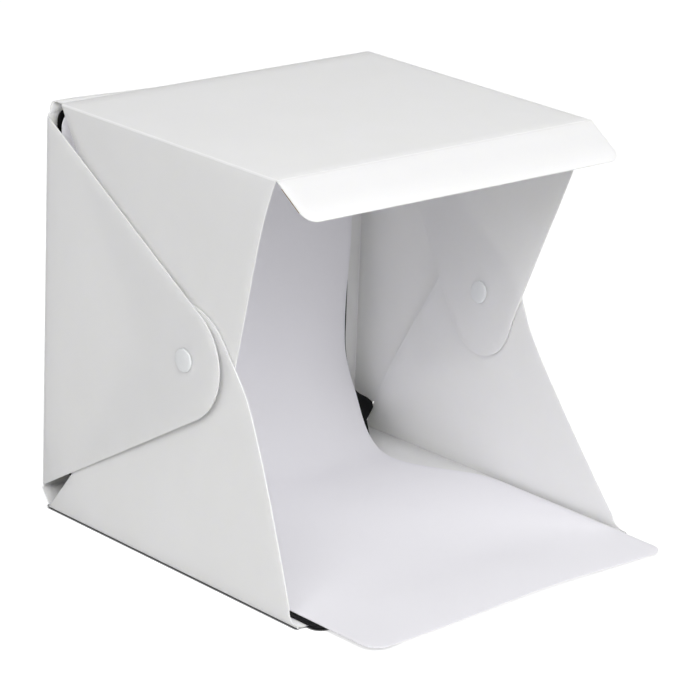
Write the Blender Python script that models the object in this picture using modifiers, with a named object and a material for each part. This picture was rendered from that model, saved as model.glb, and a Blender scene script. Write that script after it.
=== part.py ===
"""Foldable light tent cube: five creased panels, six side flaps, snaps, backdrops and an LED strip.

Metres, +Z up. The open front faces -Y. The pieces are laid out from the rear corner, where the lines
of the bottom and the back would meet, and then moved so that the origin is the middle of the bottom.
"""

import math

import bmesh
import bpy
from mathutils import Matrix, Vector

# Box
SHEET = 0.0008
GAP = 0.0003
BOX_HEIGHT = 0.2355
BOTTOM_DEPTH = 0.232
TOP_DEPTH = 0.194
SPINE_LEG = 0.0085
TOP_SPINE_LEG = 0.0060
TOP_FOLD_HALF_WIDTH = 0.1130
BACK_FOLD_HALF_WIDTH = 0.1174
BOTTOM_FOLD_HALF_WIDTH_REAR = 0.1200
BOTTOM_FOLD_HALF_WIDTH_FRONT = 0.1214
BOTTOM_CORNER_RADIUS = 0.004
SPINE_INSET = 0.0020
FLAP_CORNER_INSET = 0.0020
CREASE_BEND = math.radians(45.0)

# Side walls
SNAP_DEPTH = 0.120
SNAP_HEIGHT = 0.117
SNAP_PINCH = 0.0074
LAYER_PITCH = 0.0015
PINCH_TAPER_SHARE = 0.045
PINCH_POWER = 1.6
PINCH_EASE_SHARE = 0.08
TOP_FLAP_SWELL = 0.0040
BACK_FLAP_PINCH = 0.0058
FLARE_HEIGHT_REAR = 0.035
FLARE_GROWTH_SHARE = 0.44
FLARE_POWER = 1.3

# Flap outlines
BACK_TIP_RADIUS = 0.0345
BACK_TIP_SET_BACK = 0.0067
BACK_TIP_DROP = 0.0015
BOTTOM_TIP_RADIUS = 0.032
TOP_TIP_RADIUS = 0.0270
TOP_TIP_SET_FORWARD = 0.001
TOP_TIP_DROP = 0.010
BOTTOM_FLAP_FRONT_SETBACK = 0.0075
BOTTOM_FLAP_FOOT = 0.009
TOP_FLAP_FRONT_SETBACK = 0.0010
WALL_CELL = 0.016

# Snaps
CAP_RADIUS = 0.0066
CAP_RISE = 0.0020
CAP_RIM = 0.0007
POST_RADIUS = 0.0015
SOCKET_RADIUS = 0.0055
SOCKET_HEIGHT = 0.0021
SOCKET_FLOOR = 0.0006
NUB_RADIUS = 0.0024
NUB_RISE = 0.0026
NUB_CLEARANCE = 0.0006
FLANGE_RADIUS = 0.0044
FLANGE_THICKNESS = 0.0010
FLANGE_CLEARANCE = 0.0008

# Visor and LED strip
VISOR_LENGTH = 0.031
VISOR_HALF_WIDTH = 0.1132
VISOR_CORNER_RADIUS = 0.008
VISOR_TILT = math.radians(33.0)
VISOR_MOST_BEND = math.radians(60.0)
TAPE_THICKNESS = 0.0006
TAPE_INSET = 0.002
BOARD_HALF_LENGTH = 0.1115
BOARD_WIDTH = 0.018
BOARD_THICKNESS = 0.0010
BOARD_FROM_FOLD = 0.0035
BOARD_CORNER_RADIUS = 0.0008
LED_COUNT = 20
LED_LENGTH = 0.0035
LED_WIDTH = 0.0028
LED_HEIGHT = 0.0008
LED_END_MARGIN = 0.010
SOCKET_BODY_WIDTH = 0.0076
SOCKET_BODY_DEPTH = 0.0056
SOCKET_BODY_HEIGHT = 0.0027
SOCKET_WALL = 0.0004
SOCKET_TONGUE_LENGTH = 0.0036
SOCKET_TONGUE_WIDTH = 0.0044
SOCKET_TONGUE_THICKNESS = 0.0007
SOCKET_FROM_FOLD = 0.0132

# Backdrops
BACKDROP_THICKNESS = 0.0005
PAD_THICKNESS = 0.0010
PAD_SIZE = 0.020
PAD_SPACING = 0.170
PAD_FROM_TOP = 0.020
PAD_CORNER_RADIUS = 0.002
BLACK_SWEEP_RADIUS = 0.0600
WHITE_SWEEP_RADIUS = 0.0576
BLACK_TOP_GAP = 0.0070
WHITE_TOP_GAP = 0.0038
BLACK_FRONT_REACH = 0.0135
WHITE_FRONT_REACH = 0.0430
WHITE_FRONT_SKEW = 0.0065
BLACK_HALF_WIDTH_FRONT = 0.1130
BLACK_HALF_WIDTH_REAR = 0.1070
WHITE_HALF_WIDTH_FRONT = 0.1142
WHITE_HALF_WIDTH_REAR = 0.1058
BLACK_SHIFT_FRONT = -0.0035
BLACK_SHIFT_REAR = -0.0020
WHITE_SHIFT_FRONT = 0.0030
WHITE_SHIFT_REAR = -0.0027
WHITE_WAIST = 0.0115
WHITE_WAIST_LENGTH = 0.060
BLACK_WAIST = 0.0100
BLACK_WAIST_LENGTH = 0.045
BACKDROP_CORNER_RADIUS = 0.010
NARROWING_LENGTH = 0.070
BACKDROP_CELLS_ACROSS = 9
NARROWING_STEPS = 4
SWEEP_STEPS = 8

CUT_OVERRUN = 0.010
ROUND_STEPS = 28
ARC_STEPS = 14
CORNER_STEPS = 4
SMOOTH_BELOW = math.radians(30.0)

# Colours, roughness and sheen of each material
FINISHES = {
    "white_polypropylene_sheet": ((0.86, 0.87, 0.88), 0.45, 0.0),
    "white_snap_plastic": ((0.84, 0.85, 0.86), 0.30, 0.0),
    "white_backdrop_sheet": ((0.84, 0.85, 0.89), 0.60, 0.0),
    "black_backdrop_sheet": ((0.02, 0.02, 0.022), 0.60, 0.0),
    "white_hook_and_loop": ((0.80, 0.80, 0.80), 0.95, 0.0),
    "black_hook_and_loop": ((0.03, 0.03, 0.03), 0.95, 0.0),
    "foam_tape": ((0.75, 0.75, 0.72), 0.80, 0.0),
    "circuit_board": ((0.33, 0.25, 0.13), 0.55, 0.0),
    "led_package": ((0.85, 0.78, 0.35), 0.35, 0.0),
    "nickel_plated_steel": ((0.62, 0.61, 0.58), 0.30, 1.0),
    "black_contact_carrier": ((0.02, 0.02, 0.02), 0.50, 0.0),
}

SIDES = ("left", "right")


def direction(side_name):
    """Which way along X that side lies."""
    return -1.0 if side_name == "left" else 1.0


def clear_scene():
    for obj in list(bpy.data.objects):
        bpy.data.objects.remove(obj, do_unlink=True)


def new_collection(name):
    collection = bpy.data.collections.new(name)
    bpy.context.scene.collection.children.link(collection)
    return collection


def new_material(name):
    colour, roughness, metallic = FINISHES[name]
    material = bpy.data.materials.new(name)
    material.use_nodes = True
    shader = material.node_tree.nodes["Principled BSDF"]
    shader.inputs["Base Color"].default_value = (*colour, 1.0)
    shader.inputs["Roughness"].default_value = roughness
    shader.inputs["Metallic"].default_value = metallic
    material.diffuse_color = (*colour, 1.0)
    return material


class Kit:
    """The two collections and the materials that every builder below shares."""

    def __init__(self):
        self.parts = new_collection("light_tent_cube")
        self.cutters = new_collection("cutters")
        self.materials = {name: new_material(name) for name in FINISHES}

    def part(self, name, mesh, material, pivot=None):
        """One finished piece. Its origin goes to the pivot, a world point on its joint's axis."""
        if pivot is not None:
            mesh.transform(Matrix.Translation(-Vector(pivot)))
        mesh.materials.clear()
        mesh.materials.append(self.materials[material])
        mesh.shade_smooth()
        mesh.set_sharp_from_angle(angle=SMOOTH_BELOW)
        obj = bpy.data.objects.new(name, mesh)
        if pivot is not None:
            obj.location = pivot
        self.parts.objects.link(obj)
        return obj

    def cutter(self, name, mesh):
        obj = bpy.data.objects.new(name, mesh)
        obj.hide_render = True
        obj.display_type = "WIRE"
        self.cutters.objects.link(obj)
        return obj


def evaluated_mesh(obj):
    """The object's mesh with its modifiers applied, in world space. The object is removed."""
    bpy.context.view_layer.update()
    graph = bpy.context.evaluated_depsgraph_get()
    mesh = bpy.data.meshes.new_from_object(obj.evaluated_get(graph))
    mesh.transform(obj.matrix_world)
    bpy.data.objects.remove(obj, do_unlink=True)
    return mesh


def cleaned(mesh):
    """The mesh without slivers, triangulated, its faces all pointing out."""
    nearest = GAP / 10
    work = bmesh.new()
    work.from_mesh(mesh)
    bmesh.ops.remove_doubles(work, verts=work.verts, dist=nearest)
    bmesh.ops.triangulate(work, faces=work.faces)
    bmesh.ops.dissolve_degenerate(work, dist=nearest, edges=work.edges)
    bmesh.ops.triangulate(work, faces=work.faces)
    bmesh.ops.recalc_face_normals(work, faces=work.faces)
    work.to_mesh(mesh)
    work.free()
    return mesh


def loose_object(name, data):
    obj = bpy.data.objects.new(name, data)
    bpy.context.scene.collection.objects.link(obj)
    return obj


def rounded_corners(points, radii):
    """A closed outline with each corner turned into an arc of its own radius. Zero keeps it sharp."""
    outline = []
    count = len(points)
    for index, (corner, radius) in enumerate(zip(points, radii)):
        corner = Vector(corner)
        before = (Vector(points[index - 1]) - corner).normalized()
        after = (Vector(points[(index + 1) % count]) - corner).normalized()
        if radius == 0.0:
            outline.append(corner)
            continue
        half = before.angle(after) / 2
        centre = corner + (before + after).normalized() * (radius / math.sin(half))
        start = corner + before * (radius / math.tan(half)) - centre
        end = corner + after * (radius / math.tan(half)) - centre
        turn = start.angle_signed(end)
        for step in range(CORNER_STEPS + 1):
            outline.append(centre + Matrix.Rotation(-turn * step / CORNER_STEPS, 2) @ start)
    return outline


def flat_plate(outline, thickness, frame):
    """A closed 2D outline filled and extruded: local Z runs from 0 to the thickness."""
    curve = bpy.data.curves.new("outline", "CURVE")
    curve.dimensions = "2D"
    curve.fill_mode = "BOTH"
    curve.extrude = thickness / 2
    spline = curve.splines.new("POLY")
    spline.points.add(len(outline) - 1)
    for point, place in zip(spline.points, outline):
        point.co = (place[0], place[1], 0.0, 1.0)
    spline.use_cyclic_u = True
    obj = loose_object("outline", curve)
    obj.matrix_world = frame @ Matrix.Translation((0.0, 0.0, thickness / 2))
    return cleaned(evaluated_mesh(obj))


def box(size, centre, frame):
    """A block of the given size, centred at a local point of the frame."""
    work = bmesh.new()
    place = frame @ Matrix.Translation(centre) @ Matrix.Diagonal((*size, 1.0))
    bmesh.ops.create_cube(work, size=1.0, matrix=place)
    mesh = bpy.data.meshes.new("box")
    work.to_mesh(mesh)
    work.free()
    return mesh


def turned(profile, frame, closed=False):
    """A profile of (radius, height) points swept round local Z by a Screw modifier."""
    edges = [(index, index + 1) for index in range(len(profile) - 1)]
    if closed:
        edges.append((len(profile) - 1, 0))
    mesh = bpy.data.meshes.new("profile")
    mesh.from_pydata([(radius, 0.0, height) for radius, height in profile], edges, [])
    obj = loose_object("profile", mesh)
    screw = obj.modifiers.new("turn", "SCREW")
    screw.steps = screw.render_steps = ROUND_STEPS
    screw.use_merge_vertices = True
    screw.merge_threshold = GAP / 100
    obj.matrix_world = frame
    return evaluated_mesh(obj)


def cylinder(radius, half_length, frame):
    """A plain round cutter, centred on the frame."""
    profile = [(0.0, half_length), (radius, half_length), (radius, -half_length), (0.0, -half_length)]
    return turned(profile, frame)


def segment_frame(start, end):
    """Local Y runs along the box's outline, X is world X and Z points into the box."""
    along = Vector((0.0, end[0] - start[0], end[1] - start[1])).normalized()
    across = Vector((1.0, 0.0, 0.0))
    inward = across.cross(along)
    frame = Matrix((across, along, inward)).transposed().to_4x4()
    frame.translation = Vector((0.0, start[0], start[1]))
    return frame


def crease_setback(bend):
    """How far each plate stops short of a crease that turns on the sheet's outer face."""
    return SHEET * math.tan(bend / 2) + GAP / (2 * math.cos(bend / 2))


def visor_setback():
    """The same for the visor, whose crease turns at half the sheet's thickness."""
    return SHEET / 2 * math.tan(VISOR_MOST_BEND / 2) + GAP / (2 * math.cos(VISOR_MOST_BEND / 2))


# Corners of the outer outline in (y, z), from the front of the bottom round to the visor's fold
BOTTOM_FRONT = (-BOTTOM_DEPTH, 0.0)
BOTTOM_REAR = (-SPINE_LEG, 0.0)
BACK_LOW = (0.0, SPINE_LEG)
BACK_HIGH = (0.0, BOX_HEIGHT - TOP_SPINE_LEG)
TOP_REAR = (-TOP_SPINE_LEG, BOX_HEIGHT)
TOP_FRONT = (-TOP_DEPTH, BOX_HEIGHT)


def bottom_fold(y):
    """Half width between the middles of the bottom's two side folds."""
    share = -y / BOTTOM_DEPTH
    return BOTTOM_FOLD_HALF_WIDTH_REAR + share * (
        BOTTOM_FOLD_HALF_WIDTH_FRONT - BOTTOM_FOLD_HALF_WIDTH_REAR
    )


def top_wall(y, z):
    """Half width at the middle of the top flap, which swells at its front and bends in to the snap."""
    fall = max(BOX_HEIGHT - z, 0.0) / (BOX_HEIGHT - SNAP_HEIGHT)
    if fall <= 1.0:
        bend = fall**PINCH_POWER
        swell = TOP_FLAP_SWELL * (y / TOP_DEPTH) ** 2 * math.sin(math.pi * fall) * (1.0 - fall) ** 2
    else:
        bend = 1.0 + PINCH_POWER * PINCH_EASE_SHARE * (1.0 - math.exp((1.0 - fall) / PINCH_EASE_SHARE))
        swell = 0.0
    return TOP_FOLD_HALF_WIDTH + swell - bend * (SNAP_PINCH + PINCH_TAPER_SHARE * (-y - SNAP_DEPTH))


def bottom_wall(y, z):
    """Half width at the middle of the bottom flap: one layer outside the top flap, flared to its fold."""
    inner = top_wall(y, z) + LAYER_PITCH
    flare_height = FLARE_HEIGHT_REAR - FLARE_GROWTH_SHARE * y
    rest = max(0.0, 1.0 - z / flare_height)
    return inner + (bottom_fold(y) - top_wall(y, 0.0) - LAYER_PITCH) * rest**FLARE_POWER


def back_wall(y, z):
    """Half width at the middle of the back flap, a flat sheet that leans in to the snap."""
    return BACK_FOLD_HALF_WIDTH + BACK_FLAP_PINCH * y / SNAP_DEPTH


def wall_point(surface, side, y, z):
    return Vector((side * surface(y, z), y, z))


def wall_normal(surface, side, y, z):
    """Unit normal of a wall, pointing out of the box."""
    step = SHEET
    slope_y = (surface(y + step, z) - surface(y - step, z)) / (2 * step)
    slope_z = (surface(y, z + step) - surface(y, z - step)) / (2 * step)
    return Vector((side, -slope_y, -slope_z)).normalized()


def axis_frame(place, axis):
    """A frame whose Z lies along the axis."""
    frame = axis.to_track_quat("Z", "Y").to_matrix().to_4x4()
    frame.translation = place
    return frame


def tangent_angle(corner, centre, radius, turn):
    """Angle, seen from the circle's centre, of the point where a line from the corner touches it."""
    line = Vector(corner) - Vector(centre)
    return math.atan2(line.y, line.x) + turn * math.acos(radius / line.length)


def flap_outline(first, second, centre, radius, turn):
    """A flap in (y, z): from its first corner round a circular tip to its second corner.

    The turn is +1 where the tip is passed anticlockwise and -1 where it is passed clockwise.
    """
    start = tangent_angle(first, centre, radius, turn)
    end = tangent_angle(second, centre, radius, -turn)
    sweep = (end - start) * turn % math.tau
    tip = []
    for step in range(ARC_STEPS + 1):
        angle = start + turn * sweep * step / ARC_STEPS
        tip.append(Vector(centre) + Vector((math.cos(angle), math.sin(angle))) * radius)
    return [Vector(first), *tip, Vector(second)]


def sheet_wall(kit, name, side, surface, outline, holes, pivot):
    """A bowed side flap: a curved sheet, cut to its outline and pierced for its snap."""
    lows = [min(point[axis] for point in outline) - CUT_OVERRUN / 2 for axis in (0, 1)]
    highs = [max(point[axis] for point in outline) + CUT_OVERRUN / 2 for axis in (0, 1)]
    cells = [math.ceil((high - low) / WALL_CELL) for low, high in zip(lows, highs)]
    work = bmesh.new()
    bmesh.ops.create_grid(work, x_segments=cells[0], y_segments=cells[1], size=1.0)
    for vertex in work.verts:
        shares = [(vertex.co[axis] + 1.0) / 2 for axis in (0, 1)]
        y, z = [low + (high - low) * share for low, high, share in zip(lows, highs, shares)]
        vertex.co = wall_point(surface, side, y, z)
    reach = max(abs(vertex.co.x) for vertex in work.verts) + CUT_OVERRUN
    mesh = bpy.data.meshes.new("wall")
    work.to_mesh(mesh)
    work.free()
    wall = loose_object("wall", mesh)
    thicken = wall.modifiers.new("thickness", "SOLIDIFY")
    thicken.thickness = SHEET
    thicken.offset = 0.0
    thicken.use_even_offset = True
    towards_side = Matrix(((0.0, 0.0, side), (1.0, 0.0, 0.0), (0.0, 1.0, 0.0))).to_4x4()
    prism = kit.cutter(name + "_outline", flat_plate(outline, reach, towards_side))
    keep = wall.modifiers.new("outline", "BOOLEAN")
    keep.operation = "INTERSECT"
    keep.solver = "EXACT"
    keep.object = prism
    for number, (radius, frame) in enumerate(holes):
        drill = kit.cutter(f"{name}_hole_{number}", cylinder(radius, CUT_OVERRUN, frame))
        bore = wall.modifiers.new(f"hole_{number}", "BOOLEAN")
        bore.operation = "DIFFERENCE"
        bore.solver = "EXACT"
        bore.object = drill
    kit.part(name, cleaned(evaluated_mesh(wall)), "white_polypropylene_sheet", pivot)


def panel_plate(half_widths, length, setbacks, corner_radius, start, end):
    """A flat panel along one run of the box's outline, stopped short of its two creases."""
    low, high = setbacks[0], length - setbacks[1]
    corners = [(-half_widths[0], low), (half_widths[0], low), (half_widths[1], high), (-half_widths[1], high)]
    radii = [corner_radius[0], corner_radius[0], corner_radius[1], corner_radius[1]]
    return flat_plate(rounded_corners(corners, radii), SHEET, segment_frame(start, end))


def distance(start, end):
    return math.hypot(end[0] - start[0], end[1] - start[1])


def build_panels(kit):
    """Bottom, spine, back, spine and top: one run of sheet, creased at 45 degrees."""
    crease = crease_setback(CREASE_BEND)
    sheet_edge = SHEET / 2
    bottom = (bottom_fold(-BOTTOM_DEPTH) + sheet_edge, bottom_fold(-SPINE_LEG) + sheet_edge)
    back = BACK_FOLD_HALF_WIDTH + sheet_edge
    top = TOP_FOLD_HALF_WIDTH + sheet_edge
    bottom_spine = (bottom[1] - SPINE_INSET, back)
    runs = [
        ("bottom_panel", BOTTOM_FRONT, BOTTOM_REAR, bottom, (0.0, crease), (BOTTOM_CORNER_RADIUS, 0.0)),
        ("bottom_spine", BOTTOM_REAR, BACK_LOW, bottom_spine, (crease,) * 2, (0.0, 0.0)),
        ("back_panel", BACK_LOW, BACK_HIGH, (back, back), (crease,) * 2, (0.0, 0.0)),
        ("top_spine", BACK_HIGH, TOP_REAR, (top - SPINE_INSET,) * 2, (crease,) * 2, (0.0, 0.0)),
        ("top_panel", TOP_REAR, TOP_FRONT, (top, top), (crease, visor_setback()), (0.0, 0.0)),
    ]
    for name, start, end, half_widths, setbacks, radii in runs:
        plate = panel_plate(half_widths, distance(start, end), setbacks, radii, start, end)
        pivot = None if name == "bottom_panel" else (0.0, *start)
        kit.part(name, plate, "white_polypropylene_sheet", pivot)


def snap_frames(side):
    """The snap's frames on the back flap and on the top flap, each square to its own sheet."""
    outer_axis = wall_normal(back_wall, side, -SNAP_DEPTH, SNAP_HEIGHT)
    outer_place = wall_point(back_wall, side, -SNAP_DEPTH, SNAP_HEIGHT)
    inner_axis = wall_normal(top_wall, side, -SNAP_DEPTH, SNAP_HEIGHT)
    mouth = outer_place - outer_axis * (SHEET / 2 + GAP + SOCKET_HEIGHT)
    spacing = abs(mouth.x) - top_wall(-SNAP_DEPTH, SNAP_HEIGHT)
    foot = mouth - inner_axis * spacing
    inner_place = wall_point(top_wall, side, foot.y, foot.z)
    return axis_frame(outer_place, outer_axis), axis_frame(inner_place, inner_axis)


def cap_profile(post_reach):
    """A shallow domed cap over a post, top to bottom down its outer side."""
    rise = CAP_RISE - CAP_RIM
    dome = []
    for step in range(CORNER_STEPS + 1):
        angle = math.pi / 2 * step / CORNER_STEPS
        dome.append((CAP_RADIUS * math.sin(angle), CAP_RIM + rise * math.cos(angle)))
    edge = (CAP_RADIUS - CAP_RIM / 2, 0.0)
    return [*dome, edge, (POST_RADIUS, 0.0), (POST_RADIUS, -post_reach), (0.0, -post_reach)]


def build_snap(kit, label, side):
    """Outer cap and socket on the back flap, stud and inner cap on the top flap."""
    outer, inner = snap_frames(side)
    seat = SHEET / 2 + GAP
    post_reach = SHEET + GAP
    bore = POST_RADIUS + GAP
    pivots = flap_pivots(side)
    cap_place = outer @ Matrix.Translation((0.0, 0.0, seat))
    cap = turned(cap_profile(post_reach), cap_place)
    kit.part(f"{label}_snap_outer_cap", cap, "white_snap_plastic", pivots["back"])
    mouth_radius = NUB_RADIUS + NUB_CLEARANCE
    socket_profile = [
        (bore, -seat),
        (SOCKET_RADIUS, -seat),
        (SOCKET_RADIUS, -seat - SOCKET_HEIGHT),
        (mouth_radius, -seat - SOCKET_HEIGHT),
        (mouth_radius, -seat - SOCKET_FLOOR),
        (bore, -seat - SOCKET_FLOOR),
    ]
    socket = turned(socket_profile, outer, closed=True)
    kit.part(f"{label}_snap_socket", socket, "white_snap_plastic", pivots["back"])
    nub_top = seat + FLANGE_THICKNESS + NUB_RISE
    recess = SHEET / 2 + GAP + FLANGE_THICKNESS / 2
    stud_profile = [
        (0.0, nub_top),
        (NUB_RADIUS - CAP_RIM / 2, nub_top),
        (NUB_RADIUS, nub_top - CAP_RIM / 2),
        (NUB_RADIUS, seat + FLANGE_THICKNESS),
        (FLANGE_RADIUS, seat + FLANGE_THICKNESS),
        (FLANGE_RADIUS, seat),
        (bore, seat),
        (bore, recess),
        (0.0, recess),
    ]
    kit.part(f"{label}_snap_stud", turned(stud_profile, inner), "white_snap_plastic", pivots["top"])
    flipped = inner @ Matrix.Rotation(math.pi, 4, "X") @ Matrix.Translation((0.0, 0.0, seat))
    inner_cap = turned(cap_profile(post_reach), flipped)
    kit.part(f"{label}_snap_inner_cap", inner_cap, "white_snap_plastic", pivots["top"])


def flap_pivots(side):
    """A point on each flap's crease, at the flap's outer edge."""
    stand = SHEET + GAP
    half = SHEET / 2
    middle_y = -SNAP_DEPTH
    return {
        "back": (side * (back_wall(-stand, SNAP_HEIGHT) + half), -stand, SNAP_HEIGHT),
        "bottom": (side * (bottom_fold(middle_y) + half), middle_y, stand),
        "top": (side * (TOP_FOLD_HALF_WIDTH + half), middle_y, BOX_HEIGHT - stand),
    }


def build_side(kit, label, side):
    """The three flaps of one side, from the outermost layer in."""
    outer, inner = snap_frames(side)
    pivots = flap_pivots(side)
    stand = SHEET + GAP
    post_bore = POST_RADIUS + GAP
    low_corner = BACK_LOW[1] + FLAP_CORNER_INSET
    high_corner = BACK_HIGH[1] - FLAP_CORNER_INSET
    snap = (-SNAP_DEPTH, SNAP_HEIGHT)
    back_tip = (-SNAP_DEPTH + BACK_TIP_SET_BACK, SNAP_HEIGHT - BACK_TIP_DROP)
    back_outline = flap_outline(
        (-stand, high_corner), (-stand, low_corner), back_tip, BACK_TIP_RADIUS, 1.0
    )
    sheet_wall(
        kit, f"{label}_back_flap", side, back_wall, back_outline, [(post_bore, outer)], pivots["back"]
    )
    rear = BOTTOM_REAR[0] - FLAP_CORNER_INSET
    front = -BOTTOM_DEPTH + BOTTOM_FLAP_FRONT_SETBACK
    bottom_outline = flap_outline(
        (rear, stand), (front, stand + BOTTOM_FLAP_FOOT), snap, BOTTOM_TIP_RADIUS, 1.0
    )
    bottom_outline.append(Vector((-BOTTOM_DEPTH, stand)))
    layer = Matrix.Translation((0.0, 0.0, LAYER_PITCH))
    clear_hole = [(FLANGE_RADIUS + FLANGE_CLEARANCE, inner @ layer)]
    sheet_wall(
        kit, f"{label}_bottom_flap", side, bottom_wall, bottom_outline, clear_hole, pivots["bottom"]
    )
    tip = (-SNAP_DEPTH - TOP_TIP_SET_FORWARD, SNAP_HEIGHT - TOP_TIP_DROP)
    hang = BOX_HEIGHT - stand
    rear = TOP_REAR[0] - FLAP_CORNER_INSET
    top_outline = flap_outline(
        (rear, hang), (-TOP_DEPTH + TOP_FLAP_FRONT_SETBACK, hang), tip, TOP_TIP_RADIUS, -1.0
    )
    sheet_wall(kit, f"{label}_top_flap", side, top_wall, top_outline, [(post_bore, inner)], pivots["top"])


def visor_frame():
    """Origin on the fold's outer line, Y down the visor and Z towards its inner face."""
    end = (
        TOP_FRONT[0] - VISOR_LENGTH * math.cos(VISOR_TILT),
        TOP_FRONT[1] - VISOR_LENGTH * math.sin(VISOR_TILT),
    )
    return segment_frame(TOP_FRONT, end)


def rectangle(half_width, low, high):
    return [(-half_width, low), (half_width, low), (half_width, high), (-half_width, high)]


def build_visor(kit):
    """The visor with the LED strip stuck under it."""
    frame = visor_frame()
    pivot = (0.0, TOP_FRONT[0], TOP_FRONT[1] - SHEET / 2)
    outline = rectangle(VISOR_HALF_WIDTH, visor_setback(), VISOR_LENGTH)
    radii = [0.0, 0.0, VISOR_CORNER_RADIUS, VISOR_CORNER_RADIUS]
    visor = flat_plate(rounded_corners(outline, radii), SHEET, frame)
    kit.part("visor", visor, "white_polypropylene_sheet", pivot)

    tape_face = SHEET + GAP
    board_face = tape_face + TAPE_THICKNESS + GAP
    board_end = BOARD_FROM_FOLD + BOARD_WIDTH
    tape = flat_plate(
        rectangle(BOARD_HALF_LENGTH - TAPE_INSET, BOARD_FROM_FOLD + TAPE_INSET, board_end - TAPE_INSET),
        TAPE_THICKNESS,
        frame @ Matrix.Translation((0.0, 0.0, tape_face)),
    )
    kit.part("led_board_tape", tape, "foam_tape", pivot)
    board_outline = rounded_corners(
        rectangle(BOARD_HALF_LENGTH, BOARD_FROM_FOLD, board_end), [BOARD_CORNER_RADIUS] * 4
    )
    board = flat_plate(
        board_outline, BOARD_THICKNESS, frame @ Matrix.Translation((0.0, 0.0, board_face))
    )
    kit.part("led_board", board, "circuit_board", pivot)

    chip_face = board_face + BOARD_THICKNESS + GAP
    middle = BOARD_FROM_FOLD + BOARD_WIDTH / 2
    span = 2 * (BOARD_HALF_LENGTH - LED_END_MARGIN)
    pitch = span / (LED_COUNT - 1)
    for index in range(LED_COUNT):
        centre = (-span / 2 + pitch * index, middle, chip_face + LED_HEIGHT / 2)
        chip = box((LED_LENGTH, LED_WIDTH, LED_HEIGHT), centre, frame)
        kit.part(f"led_chip_{index + 1:02d}", chip, "led_package", pivot)
    build_power_socket(kit, frame, chip_face, pivot)


def build_power_socket(kit, frame, face, pivot):
    """A micro USB inlet at the strip's right end, open to the side: steel shell and contact tongue."""
    outer = (SOCKET_BODY_DEPTH, SOCKET_BODY_WIDTH, SOCKET_BODY_HEIGHT)
    centre_x = BOARD_HALF_LENGTH - SOCKET_BODY_DEPTH / 2
    centre = Vector((centre_x, SOCKET_FROM_FOLD, face + SOCKET_BODY_HEIGHT / 2))
    shell = loose_object("shell", box(outer, centre, frame))
    hollow = (
        SOCKET_BODY_DEPTH,
        SOCKET_BODY_WIDTH - 2 * SOCKET_WALL,
        SOCKET_BODY_HEIGHT - 2 * SOCKET_WALL,
    )
    mouth = kit.cutter("power_socket_mouth", box(hollow, centre + Vector((SOCKET_WALL, 0.0, 0.0)), frame))
    cut = shell.modifiers.new("mouth", "BOOLEAN")
    cut.operation = "DIFFERENCE"
    cut.solver = "EXACT"
    cut.object = mouth
    kit.part("power_socket_shell", evaluated_mesh(shell), "nickel_plated_steel", pivot)
    tongue_x = BOARD_HALF_LENGTH - SOCKET_BODY_DEPTH + SOCKET_WALL + GAP + SOCKET_TONGUE_LENGTH / 2
    tongue_size = (SOCKET_TONGUE_LENGTH, SOCKET_TONGUE_WIDTH, SOCKET_TONGUE_THICKNESS)
    tongue = box(tongue_size, Vector((tongue_x, centre.y, centre.z)), frame)
    kit.part("power_socket_tongue", tongue, "black_contact_carrier", pivot)


def smooth_share(value):
    """0 below 0, 1 above 1, and an easy curve between."""
    share = min(max(value, 0.0), 1.0)
    return share * share * (3.0 - 2.0 * share)


def corner_pull(distance_left):
    """How far a round corner draws the sheet's edge in, this near the sheet's end."""
    radius = BACKDROP_CORNER_RADIUS
    if distance_left >= radius:
        return 0.0
    return radius - math.sqrt(radius**2 - (radius - distance_left) ** 2)


def sweep_stations(back_y, floor_z, radius, top_z, front_y):
    """(y, z) places down the back, round the sweep and forward over the bottom."""
    corner = BACKDROP_CORNER_RADIUS
    ease = [math.sin(math.pi / 2 * step / CORNER_STEPS) for step in range(CORNER_STEPS + 1)]
    places = [(back_y, top_z - corner + corner * share) for share in reversed(ease)]
    places.append((back_y, (top_z - corner + floor_z + radius) / 2))
    for step in range(SWEEP_STEPS + 1):
        angle = math.pi / 2 * step / SWEEP_STEPS
        y = back_y - radius + radius * math.cos(angle)
        z = floor_z + radius - radius * math.sin(angle)
        places.append((y, z))
    turn_y = back_y - radius
    for step in range(1, NARROWING_STEPS + 1):
        places.append((turn_y - NARROWING_LENGTH * step / NARROWING_STEPS, floor_z))
    flat_end = front_y + corner
    places.append(((turn_y - NARROWING_LENGTH + flat_end) / 2, floor_z))
    return places + [(flat_end - corner * share, floor_z) for share in ease]


def along_sheet(y, z, turn_y, floor_z, radius):
    """The distance along a backdrop from the front end of its bend."""
    if z > floor_z + radius:
        return radius * math.pi / 2 + z - floor_z - radius
    if y > turn_y:
        return radius * math.asin(min((y - turn_y) / radius, 1.0))
    return turn_y - y


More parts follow.
